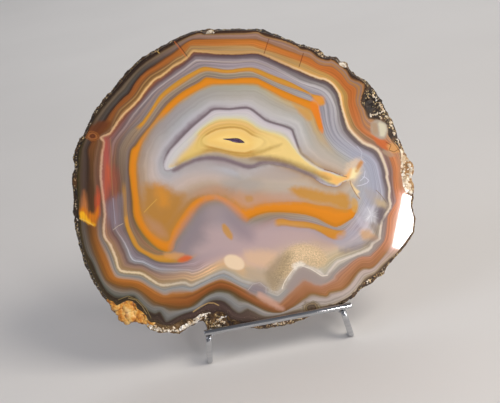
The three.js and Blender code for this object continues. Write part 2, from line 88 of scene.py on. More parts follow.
# The stand, in millimetres
STAND_MIDDLE_X = 3.4
PLATE_THICKNESS = 3.0
LEG_TOP_HALF_SPACING = 33.8
FOOT_HALF_SPACING = 36.5
BAR_RADIUS = 1.5
FRONT_BAR_LENGTH = 74.8
FRONT_BAR_SHIFT = 1.4
FRONT_BAR_BELOW_MIDDLE = 71.0
FRONT_BAR_BEFORE_FACE = 1.9
SEAT_BELOW_MIDDLE = 69.9
SEAT_DEPTH = 5.0
REST_GAP = 0.35
PLATE_GAP = 0.3
BACK_REST_DEPTH = 5.0
BACK_REST_TOP = -14.0
TOP_ROUNDING = 2.0
REAR_LEG_TOP = -22.0
REAR_LEG_JOINT = 8.0
REAR_FOOT_FRONT = 43.5
REAR_FOOT_DEPTH = 6.0
REAR_BAR_PLACE = 0.52
FRONT_LEG_NOSE = [(0.9, 0), (-1.4, 4.6), (-2.3, 9.4), (-2.1, 13.4), (-1.2, 16.4)]
FRONT_LEG_BACK = [(6.4, 0), (4.3, 3.5), (3.4, 7), (3.9, 9.6), (5.4, 10.9)]

# Outlines on the polished face are read in half-millimetre steps, x to the right and y down. The slice's
# middle is at step TRACE_MIDDLE.
TRACE_STEP = 0.5
TRACE_MIDDLE = np.array([242.0, 181.0])

# The slice's widest outline, the rough rim's outer edge.
WIDEST = (
    "72,184 71.5,180 72.5,175 75,168 73.3,161 73,157 75,150 77,145 80,138 83,135 86,129 87.5,124 90.8,119 "
    "93.3,113 95.8,109 100,104 102.5,100 105.8,96 110,91.7 113.3,88.3 116.7,85 118.3,81.3 122.5,77.5 "
    "124.5,74 130,69 135,64.3 138.3,61 142.5,57.5 148.3,54 152.5,51.7 157.5,49 160,46.7 165.8,44 172.5,40.3 "
    "176.7,38 180,36.2 185,34.8 190,32.5 195,30.8 200,30 206,30 208,28.6 213,29.4 221.7,29.2 238,28.4 "
    "250,28.8 257,28 260,30 263,29.4 266,31.2 271,32.5 279,35.8 285,38.6 290,40 296,42.3 300.8,45 303,44.3 "
    "307,45.9 313.3,47.8 318.3,48.8 321,51.3 324,55 327,55.8 330,55 333,56.8 336,57 338.3,59 340.5,61.6 "
    "344,61.5 347,63 349,68.3 351,70.8 356,74.6 360,77.5 365,80 370,85 374.6,90.8 377.5,95 381,100 "
    "383.5,105 386,110 388.5,116 391,119.5 392.7,123 395,129 397,134.5 399.4,139.5 401.8,146 404.3,152 "
    "407,157 410,161 413.3,165 414.2,168.5 412.5,176 411,178.5 412.7,182 413.9,186 413.8,192 413.3,197.5 "
    "411.8,205 413.3,212 415.2,218 414.6,225 414.2,232.5 410.8,237 406.7,243 402.5,249 398.3,254 393.3,259 "
    "389.2,263.3 386,268.5 384,273 381,275 376.7,278 372.5,282.5 368.5,285 363.3,287 358.3,291.7 "
    "353.3,296.7 348.5,300 344.5,303 341,303.8 338,304.4 335,307 325,311.5 312,315.5 304,318.4 300.8,320 "
    "295,321.8 290.8,323.3 285,325 279,326.3 271,327.5 258.3,328.8 254,327.6 240,328.4 229,329.4 218,329 "
    "213.5,328.3 207,328.4 206.5,325.5 205,322.4 203,320.6 199,321 194,324.3 188.3,327 183.3,331 179,333.4 "
    "173.3,333 164,332.2 156.7,332.2 150,329.2 147,326.7 145.8,323 143,324.3 138.3,321.7 129,322 125.4,324 "
    "120.4,320 119.6,316 115.8,313 111.3,309.3 109.6,303.5 106.7,301.3 102.5,296 98.3,290 94.2,283.5 "
    "91.7,278.3 88.3,271.8 85.4,266 83,258.3 80.8,250 78.8,243.3 77.5,237.5 76.3,233.3 75.4,230 74.6,217 "
    "73.8,212 73.5,200 73,190"
)
# The edge of the polished face.
POLISHED = (
    "77,187 77,176 78.5,166 77.5,157 79,150 81.5,144 84.5,139 88,131 90.5,125 93,120.5 96,115 98.5,110.5 "
    "102.5,105.5 106,100 109,97 113,92.5 118,87 122,82 126,76.5 131.5,70.5 136.5,65.5 144,58.8 150,55 "
    "154,53.2 158,51 161,48.5 167,45.2 173,42 180,38 186,36 191,34 196,32.4 201,31.6 206,34.2 213.5,34 "
    "216,31.2 222,30.8 238,30.2 250,30.4 256,30.4 260,31.8 266,33.2 279,37.5 290,41.8 296,44.2 300.5,47 "
    "304,46.8 308,48.2 313,50.5 317,53.5 320,56.5 324,58.3 330,58.5 333,59 336.5,60.5 340,65.5 344,67.8 "
    "347.2,67.5 349,71 352,75 356,77 360,79.6 364,82 367,87 365,91 362.7,97 361.7,103 365,108 367,112 "
    "369,117.5 374,118.5 383,121 388,125.5 388.5,136 392,141 397,145 400.5,151 401,157 400.5,164 400.5,172 "
    "402,180 403,187 406,192.5 411.5,196.5 410.3,205 412,212 413.8,218 413.2,225 412.5,231.5 409.5,235.8 "
    "405.3,241.5 401,247.5 396.8,252.5 392,257.5 387.5,262 383.5,266.5 379.5,270.5 376,274 370,278 364,282 "
    "358,288.5 352.5,294 347.5,297.5 343,300 336,303.5 324,307.8 311,311.8 302,314.5 293,317.5 284,320.5 "
    "270,323.3 258,324 246,322.5 238,321 230,318.5 227,314.5 222,311.8 217,311.5 213.5,314 211,312.5 "
    "205,311 201,313 197,316.5 192,319 187,319.5 181,320.5 176,323.5 172,325.5 166,325.8 160,324 156,322 "
    "151,322.5 148,320 146,315.5 142,311.5 137,308.5 136,304.5 133,301.5 127.5,300.2 122.5,302.5 "
    "118.5,305.5 116,305 113,301.5 110,300.5 107.5,298.5 104.5,294 100.5,288.5 97,283 94,277.5 91,271 "
    "88,265 85.5,257.5 83.5,250 81.5,243 80.3,237 79.8,230 79,217 78,208 77.5,197"
)

# The lines between the agate's bands, from the rind to the eye, one inside the other.
RIND_EDGE = (
    "80,187 80,170 82,149 86,138 92,124 100,111 110,99 125,82 140,66.5 155,55.5 172,45.5 190,36 200,32.8 "
    "206,33.8 245,33.2 257,31.5 265,36.3 282.5,40 297.5,45.8 301,49.2 310,50.8 318.3,57.5 328.3,60 "
    "331.7,58.5 340,65 346.7,70 351.7,78.3 361.7,81.7 365,86 361.5,103.3 365,108 367.5,117 378,121 "
    "387.5,127 388.5,136 398,146 400.5,157 403,170 406,190 409,197 408.5,205 411,218 409,232 398,251.7 "
    "383,264 375,272.5 365,278 356.7,290 340,302.5 320,306.5 300,309 280,314.5 270,316.5 262,316 250,309.8 "
    "246.7,309.3 240,313 233.3,310 224,301.7 215,300.5 208,302.5 199,309.5 190,312 180,315.8 167.5,322.3 "
    "164,320 160,312 155,314 145,309 135.8,298.3 131.7,296.7 118.3,298.5 106.7,292 97,275 92.5,263.5 "
    "86.7,254 83,241.7 80.8,228.3 80.5,215"
)
OUTER_ORANGE_OUTSIDE = (
    "88,195 89,175 89,160 88,150 92,141 97,132 106.7,120 115,107.5 125,97.5 130,93.3 135.8,82.5 144,73.3 "
    "155,65.8 165,59 174,53.3 184,44.5 192,40.3 200,39.8 250,39.6 258,40.4 267.5,43.3 283,49.5 301.7,55.8 "
    "311,59 320,65.4 332.5,67.6 341.7,75 348,83.3 355.8,89 355,100 358,110 363,126 370,132.5 379,137 "
    "388,146 395.8,155 400,168 400,181 402,192.5 400,204 394,220 392.5,237 385.8,251.7 372.5,267 363,267.5 "
    "356.7,273 345,287.3 335,290 329,291.7 325.8,295.5 312.5,292.7 304,297.5 295,305 284,311.5 279,312.5 "
    "269,310.8 246.7,300 230,290.3 215,289.3 200,298.5 190,306 183,307.3 175,307.3 155,302.3 142.5,292.5 "
    "133,287.6 123,286.7 109,281.5 102.5,271.7 91.7,243 88,220"
)
OUTER_ORANGE_INSIDE = (
    "96,190 94.7,170 96.5,152 98.5,142 97,138 99,135.5 109,130 113,121 118,110 126.7,102.5 135,94.5 "
    "141.7,84 150,75.2 165,66.3 175.5,58.5 184,54 189.5,46.8 193,45.8 212.5,46 248,45.8 260,48.8 277.5,54 "
    "300,61.7 315.8,69 332.5,76.8 342.5,87 347.5,95 348,105 353,121 361,131.7 381.7,145.8 387.5,155 "
    "392.3,168 393,186 395.6,198 395.5,203 387.7,215 387,221.7 384,240.8 373,253 369,256.3 358,257.5 "
    "345,268 335.8,275.8 334,279.5 320.8,285.6 305.8,280.5 300.8,282.5 287.5,295.8 281,302.7 277.5,303 "
    "257.5,296.7 240,287 225,280.2 215,281 195,290.6 190,292 173,292.3 164,295 150.8,288 138,280.8 118,278 "
    "112.5,271.7 105.8,255 98.5,239 97,224 98,215"
)
CREAM_LINE = (
    "103.8,201 102,187.5 100.8,173 102.5,152.5 104,147.5 104,141.5 101,138.5 101.5,136.8 110,133 115,125.8 "
    "123,115 131.7,106.7 139,99 144,91.7 154,80 161.7,75.8 170,69 174,65.8 182,61.5 188,56.7 193,51.3 "
    "200,51.5 221.7,53.3 241.7,53.3 255,52.5 265,55 280.8,62 295,68.2 318.3,78 324,79 331.7,83.3 339,93.3 "
    "341.7,105.8 346,120.8 350.8,130.8 363,142.5 373,146.7 380,153 387,171.7 387,177.5 389.6,188 389,198 "
    "390.5,207 382,220.8 379.6,236.7 379,239 372.5,243.3 368,250 344,259 335.8,263 327,274.3 324,275.8 "
    "317.5,270.3 300,264 296.7,267.5 285,285 279,291.7 275,292 262,285.5 241.7,280.8 228,273 220,272.5 "
    "200,281.7 190.8,285.4 183,282.5 162.5,285.4 149,278 140,273 120.8,270.8 116,259 110.4,245 105,237.5 "
    "103.8,228 105,215"
)
LAVENDER_LINE = (
    "113,200 113,184 110.8,170.8 113,150 115.8,140 126.7,125.8 134,114.5 146.7,100 154,91.7 165,83 178,74 "
    "189,66 194,62.2 200,60.8 231.7,62 246.7,61 256.7,61.7 275,69 301.7,83 318,88 328,95 334,108 335.8,125 "
    "340.8,135.8 356.7,150 368,155.8 375.8,164 380,180.8 383,198 377,213 375,229 364,241.5 341,249.5 "
    "327,256 320,258 306,252 299,250 290,254 276,268 266,270 248,262 232,254 216,260 200,269 193,271 "
    "186,269.5 159,269 143,262 132.5,259.6 125,243 115.4,228 114,211.7"
)
RING_A_OUTSIDE = (
    "122,185 120,170 120,155 122,145 131,131 142.5,121.5 154,104.5 161,94 177,81 191.7,72.5 202.5,67.2 "
    "210,67.5 226.7,70 240,68.3 250,67.6 257.8,68.9 265.6,72.2 276.7,76.7 287.8,80.8 297.8,85.8 305.6,90.5 "
    "313,94.5 320,96 325,103 326.5,110 328.5,126 "
    "336,140 351,152 367,162 371,170 374,189 367,209 353,230 345,238 334,239.6 315,229.6 298,227.5 "
    "281.7,225.8 268,230 258,236 238,241 225,239 214,243 198,255 191.7,258.3 181,262.2 160,261.7 148,256 "
    "136.7,248.9 130,237.8 124.6,222.2 123.6,207.8 122,192"
)
RING_A_INSIDE = (
    "126.5,200 126,180 125,158 127,148 136,134 146,122 158,104 167,94.5 182,84 197,74.3 203,71.9 "
    "210,71 226.7,73.2 240,71.9 250,71.3 257.8,74 267.8,78.6 276.7,82.6 286.7,86.4 297.8,89.8 305.6,92.6 "
    "311.7,96.5 319,105 325,127 333,142 350,155.5 "
    "365,166 370,183 365,203 352,222 342,230.3 323,225.8 306.7,221.7 290,220.5 279,218.5 262,226 250,230 "
    "240,231 231,229 226,224 221,226.5 210,243 202,249 192,255.5 185.6,253.4 176.7,252.4 166,254.5 "
    "154.4,254.4 141,247.5 135.6,239 129.5,226 127.3,212"
)
RING_B_OUTSIDE = (
    "132.8,202 130.4,181.7 129,169 131,151 135.8,145.8 141.5,137 154,121.5 167,105 182,92.2 199,82.5 "
    "205,78 210,77.8 225,79.6 241.7,78 255.6,77.8 262.2,80.6 273.3,86.1 284.4,91.1 297.8,96.7 308.9,100.6 "
    "317,103.5 319,111 321.5,122 324.3,131 327,138 338,151 357,162 362.5,168 366,185 364,194 357,208 355,216 "
    "350,220.3 336.7,227.3 326.7,224 315.8,218 300,214 275,212.2 260.8,214 250,218.5 245.8,222 236.7,216.5 "
    "222.5,203 214,200.2 205,202.8 198.5,208 191,219.5 182.2,231.5 175.5,241.5 173.3,250.5 165,251.7 "
    "154.4,245.6 142.2,232.2 134,216.7"
)
RING_B_INSIDE = (
    "139.5,202 137,181.7 136.7,163 140.3,148 149.5,131 161.5,118.5 178,103.2 190.5,94.5 205,86.8 210.8,84.8 "
    "218,84 253.3,83.8 262.2,86.9 273.3,92.4 284.4,98.5 297.8,104 305.6,107.8 311,111.1 314.4,117.8 "
    "317.8,126.7 321.5,134 330,147 346,160 359,171 361.5,178 361,186 357.5,199 351,208.5 340,208 330,205.5 "
    "316.7,204.2 300,201.2 266.7,202.5 245.8,208.2 238,205 228,199 216.7,194.5 205,195.2 195,200 187.8,206.7 "
    "179,218.9 172.2,230 169,239.5 165,240.3 160,238 150,230 143.3,217.8"
)
EYE_LINE = (
    "164.5,169 164,161.7 168,151.7 175.8,142.8 190,128 205,115.3 214,108.9 230,108.8 246.7,107.5 254,110.8 "
    "262.5,117.5 269,121.3 290,128 294.3,135 300,150.8 304,155.8 319,167.3 335,173 350,179 343,181.7 "
    "336.7,186.7 320.8,183 309,174 285,166.7 270.8,163.8 263,164 250.8,167.7 235,162.5 223,158.8 210,157 "
    "202.5,157.5 190,159.8 180,163.5 173,168 167,170.5"
)
AMBER_EDGE = (
    "169,166 180,150.8 195,137.5 204,128 215.8,121.7 230,119.6 245,121.7 260.8,130.8 282.5,138 291.7,147.5 "
    "305,161.7 321.7,171.7 348,177.5 340,181.7 330.8,184 317.5,174 300,168 291,162.5 270.8,160 250,161.7 "
    "229,157.5 210.8,155 191.7,159 175,166.7"
)
LENS_EDGE = (
    "203,140 208,135.5 221,130 240,129.6 252,136.5 263,141.5 249,150.5 235,151 220,148 207,144.3"
)
NESTED_BANDS = [
    RIND_EDGE, OUTER_ORANGE_OUTSIDE, OUTER_ORANGE_INSIDE, CREAM_LINE, LAVENDER_LINE, RING_A_OUTSIDE,
    RING_A_INSIDE, RING_B_OUTSIDE, RING_B_INSIDE, EYE_LINE, AMBER_EDGE, LENS_EDGE,
]
# How deep the lens's last band is (mm)
LENS_DEPTH = 4.0
# How far outside a stain's edge its distance is still worked out (mm)
STAIN_REACH = 8.0
# The slit's upper and lower edge, from left to right
SLIT_TOP = (
    "222.7,138.8 225,138.6 227.5,138.5 230,138.4 232,138.2 234.5,138.1 237.5,138.2 239.5,138.8 241.5,139.9 "
    "243.3,141.2 244.6,142.3"
)
SLIT_BOTTOM = (
    "222.7,138.9 225,139.7 227.5,140.1 230,140.8 232,141.7 234.5,142.4 237.5,142.9 239.5,143 241.5,143 "
    "243.3,142.9 244.6,142.6"
)

# Where the colours along the bands are told apart: directions from the slice's middle, in degrees
# anticlockwise from its right.
DIRECTIONS = {
    "right": 3, "upper_right": 42, "top": 90, "upper_left": 137, "left": 182, "lower_left": 220,
    "bottom": 258, "lower_right": 316,
}

# The colours across the bands in each direction: band level and sRGB colour. Level 1 is the rind's inner
# edge, 2 and 3 the outer orange band, 4 the cream line, 5 the light lavender line.
# Besides the stone's own colour changes round the slice, these colours hold painted light: painted shade
# darkens the outer bands on the left and at the bottom, where the stone has shade behind it, and a painted
# glow from the lamp lightens them on the right and lower right.
OUTER_COLOURS = {
    "right":
        "0:7a5c40 .5:a08468 1:c49c78 1.5:c88e68 1.9:b07c60 2:c88c64 2.5:cc8252 2.9:bc7850 3.05:98786c "
        "3.4:80645c 3.7:94787a 3.9:dcc8ac 4:e8d8c0 4.14:c8b49c 4.25:7c6c6c 4.45:6c6064 4.65:8a848c "
        "4.85:a4a0ae 5:b6b6c4",
    "upper_right":
        "0:33241a .8:4c3424 1:7c5230 1.2:b07c48 1.33:9c8070 1.43:8c7468 1.52:b08050 1.7:b47c44 1.82:94705c "
        "1.95:b4743c 2.1:b6682e 2.5:bc6a2e 2.9:b86c32 3.05:c08c48 3.25:c0944c 3.4:b08c50 3.6:cc9c54 "
        "3.78:e4b060 3.9:ecbc74 4:f0c488 4.08:906034 4.16:584440 4.4:6c6264 4.6:9c9694 4.72:8a8484 "
        "4.88:b4b0b0 5:b8b4b8",
    "top":
        "0:34221a .75:4a3222 1:8c6844 1.12:a07c50 1.3:96786c 1.45:ac8878 1.6:9c7c6c 1.8:94705c 1.95:9c642c "
        "2.05:b8702c 2.5:c87830 2.95:c08040 3.05:c0945c 3.35:b89460 3.5:b09068 3.7:c49c60 3.86:c89c64 "
        "4:c09662 4.1:7c4c28 4.18:584040 4.4:64545a 4.7:84787c 4.85:a0949a 5:b4a8a2",
    "upper_left":
        "0:2c1e14 .85:30221a 1:3c2e22 1.25:786854 1.42:544a40 1.65:504c48 1.85:382a22 1.95:5c3820 "
        "2.05:94562a 2.5:a46028 2.9:8c582c 3.05:805838 3.25:a8804c 3.4:70502c 3.65:90683c 3.85:c49454 "
        "4:e4b878 4.1:a8683c 4.25:8c5638 4.4:785048 4.7:7a6a6c 5:aca0a0",
    "left":
        "0:2c2614 .5:463c1e 1:50402c 1.2:584638 1.45:4c3c36 1.75:4a382c 2:483222 2.3:5a3c22 2.7:5e4228 "
        "3:7c5a44 3.3:705040 3.6:704c3c 3.85:a87c60 4:c89c80 4.12:a8685c 4.3:8c5c54 4.6:845650 4.85:8c5c4c "
        "5:906050",
    "lower_left":
        "0:4a3e24 .5:3a2e1e .9:34281c 1:443a2a 1.2:64645a 1.45:7c766c 1.7:806a54 1.88:785838 2:805828 "
        "2.3:985e24 2.6:b06c28 2.85:b87434 2.97:b07c48 3.08:b08c74 3.3:a8988c 3.5:8c8a86 3.75:98886c "
        "3.92:c8ae84 4:e0c498 4.1:bc9c74 4.25:a88860 4.45:9c7c68 4.65:846c64 4.85:8c8888 5:a8a8b0",
    "bottom":
        "0:3c2c24 .5:54403a .9:44342e 1:504438 1.12:706c68 1.35:848484 1.6:84827c 1.75:6c6248 1.9:5c4420 "
        "2:684420 2.3:8c5020 2.6:94582a 2.88:986630 3.02:b08870 3.2:a09a92 3.6:8c9094 3.85:a8a098 "
        "3.95:aca8a4 4:bab4ae 4.12:b4a894 4.3:ccae8a 4.55:dcb488 4.8:dcb898 5:d4b0a4",
    "lower_right":
        "0:584838 .8:8a7660 1:b0a088 1.2:b8a89c 1.35:a89c94 1.5:c4b4ac 1.7:b4a49c 1.9:947850 2:9c6c40 "
        "2.3:a87450 2.6:b07a56 2.9:b4846a 3.05:b49484 3.3:a09690 3.6:aaa298 3.88:ccc0b0 4:e2d8cc "
        "4.1:c4bcac 4.3:c4b8a0 4.6:c8b490 5:d0bc9c",
}
# Level 6 and 7 are ring A's edges, 8 and 9 ring B's, and 10 the thin dark line round the eye.
INNER_COLOURS = {
    "right":
        "5:b6b6c4 5.3:a4a6b4 5.5:b2b2c0 5.8:a6a8b6 6.2:acaebc 7:b0b2bc 7.5:b8b8c0 8.2:b4b6b8 9:b4b4b2 "
        "9.3:bcb4a8 9.6:c4b4a4 9.85:bca48c 10:ac8c6a",
    "upper_right":
        "5:b6b2b8 5.2:989498 5.45:a8a4aa 5.7:9c98a0 6.1:aca8ae 6.6:9a969e 7.2:9c989e 7.6:a8a4a8 8:a49c94 "
        "9:c0a478 9.12:c4a878 9.3:bcb0a0 9.5:b4b2ac 9.7:c8c6c4 9.9:c4c0c2 10:94908e",
    "top":
        "5:b2a49c 5.2:9c8e94 5.4:aea2a8 5.6:9c929c 5.8:a89a9c 6:b0a090 7:b49c80 7.25:aca08c 7.45:948674 "
        "7.6:a89a88 7.85:988474 8:a88c60 9:bca070 9.12:b2b0a0 9.3:a8a49a 9.5:b6b0a8 9.7:c2beba 9.85:c6c2c4 "
        "9.93:b8b0b4 10:8a7e84",
    "upper_left":
        "5:a89c98 5.2:8a7c80 5.45:9c8880 5.7:8a7e80 6:988878 7:b09474 7.35:9c8a78 7.6:8c7c70 7.85:8a6c5c "
        "8:a4844c 9:b49c7c 9.15:a49c9c 9.45:a8a6a8 9.6:b0b0b4 9.75:bcbcc2 9.9:988c94 10:7a6c74",
    "left":
        "5:906050 5.15:8c5c44 5.4:84583c 5.6:70543e 5.9:786050 6.2:7c6854 6.6:7a6658 7:7c6c60 7.3:84726a "
        "7.6:705c58 7.9:84602c 8:a07040 9:a8805c 9.12:b89c84 9.3:bea894 9.5:ccbab0 9.65:c6b8b2 9.8:bcb6b8 "
        "9.92:b4b4b8 10:a49c9e",
    "lower_left":
        "5:a6a8ae 5.25:948c94 5.5:8a8088 5.8:7c6e70 6:8c7840 7:a8885a 7.25:9c7c58 7.5:a87c5c 7.8:8c7850 "
        "8:a0803c 9:b8843c 9.3:b0845c 9.6:b49878 9.8:b8aca0 10:b0a8ac",
    "bottom":
        "5:d4b0a4 5.3:ccaaa4 5.7:c0a4a4 6.2:b49a9a 6.6:a89098 7:9a8a92 7.4:948c8c 7.7:908c80 8:b0845c "
        "9:d89044 9.12:d09460 9.3:cc9c74 9.5:c4a084 9.7:b8a490 9.85:b4a89c 10:b0a6a0",
    "lower_right":
        "5:d0bc9c 5.3:d4b89c 5.6:c4a898 5.9:b4a0a4 6.3:b09c9c 7:ac9088 7.5:988878 8:b08c5c 9:d0946c "
        "9.2:c49c80 9.5:b8a490 9.8:b4aca0 10:b0a6a0",
}
# Inside the eye: white quartz, then golden, then the light yellow lens from level 12.
EYE_COLOURS = (
    "10:8c8084 10.1:c4bcc4 10.35:d4ccd0 10.6:d0ccc8 10.8:dcd6b8 10.94:e6d294 11.1:e8c478 11.3:ecc47c "
    "11.5:e2b666 11.62:e8c070 11.82:cc9c4c 11.93:ecc06c 12:f5d084 12.3:f8d07c 12.6:fad27a 13:ffdc88"
)
# The cream line's own colour in each direction.
CREAM_COLOURS = {
    "right": "e4d4c0", "upper_right": "ecd4b0", "top": "c89c66", "upper_left": "ecc488", "left": "d4ac94",
    "lower_left": "f0dcb8", "bottom": "b8b2ac", "lower_right": "d8cec4",
}
# Iron oxide in rings A and B: colour, and how strongly it covers (the alpha).
IRON_COLOURS = (
    "5.94:b0781e00 6.06:bf8838ff 6.4:d49832ff 6.75:d0923cff 6.94:c08848ff 7.1:b0884c00 "
    "7.92:d07c1400 8.05:c8801eff 8.25:e08a1aff 8.6:e68e1cff 8.9:d88a2aff 9.1:c0883000"
)
# How strongly the thin growth layers show at each level.
LAYER_STRENGTH = (
    "0:a8a8a8 4:b0b0b0 5:c0c0c0 8:a8a8a8 9:787878 10:505050 11:8c8c8c 12:707070 12.3:202020 13:101010"
)

# Where the rings hold iron: outlines of ring A's orange stretches, and of ring B's stretches that lack it,
# each with how soft its edge is (mm) and how much it counts.
RING_A_IRON = [
    ("141,130 133,115 160,80 200,55 260,55 306,82 306,97 260,88 200,80 165,108 150,128", 4, 1),
    ("311,93 322,92 325,104 313,104", 2, 1),
    ("116,190 135,190 140,228 118,230", 7, 0.5),
    ("116,222 136,214 150,246 192,249 192,264 150,270 118,240", 4, 1),
    ("281,214 335,221 343,228 347,241 330,245 281,231", 3, 1),
]
RING_B_WITHOUT_IRON = [
    ("320,136 328,128 384,150 386,212 358,207 351,194 330,150", 2, 1),
    ("140,140 146,126 158,114 166,122 154,132 146,146", 8, 0.6),
]

# Parts of the face that are cloudy rather than layered: outline, softness of its edge (mm), how cloudy.
CLOUDY_PARTS = [
    ("178,242 193,216 213,202 230,206 245,224 282,219 330,230 350,240 345,252 326,262 318,300 280,290 "
     "250,280 200,262 180,256", 5, 0.95),
    ("180,170 215,158 260,168 320,186 345,188 330,200 280,200 248,206 222,194 196,198 170,196", 6, 0.65),
    ("140,184 165,190 186,196 180,216 160,232 144,214", 4, 0.8),
    ("200,120 250,118 300,150 350,174 340,184 262,158 190,158 176,164 190,140", 4, 0.4),
]
# Where the dark line round the eye fades out.
EYE_LINE_FAINT = (
    "296,160 330,166 356,170 358,184 330,192 290,176 270,168 200,162 176,176 160,182 158,160 176,160 200,152 "
    "262,160"
)

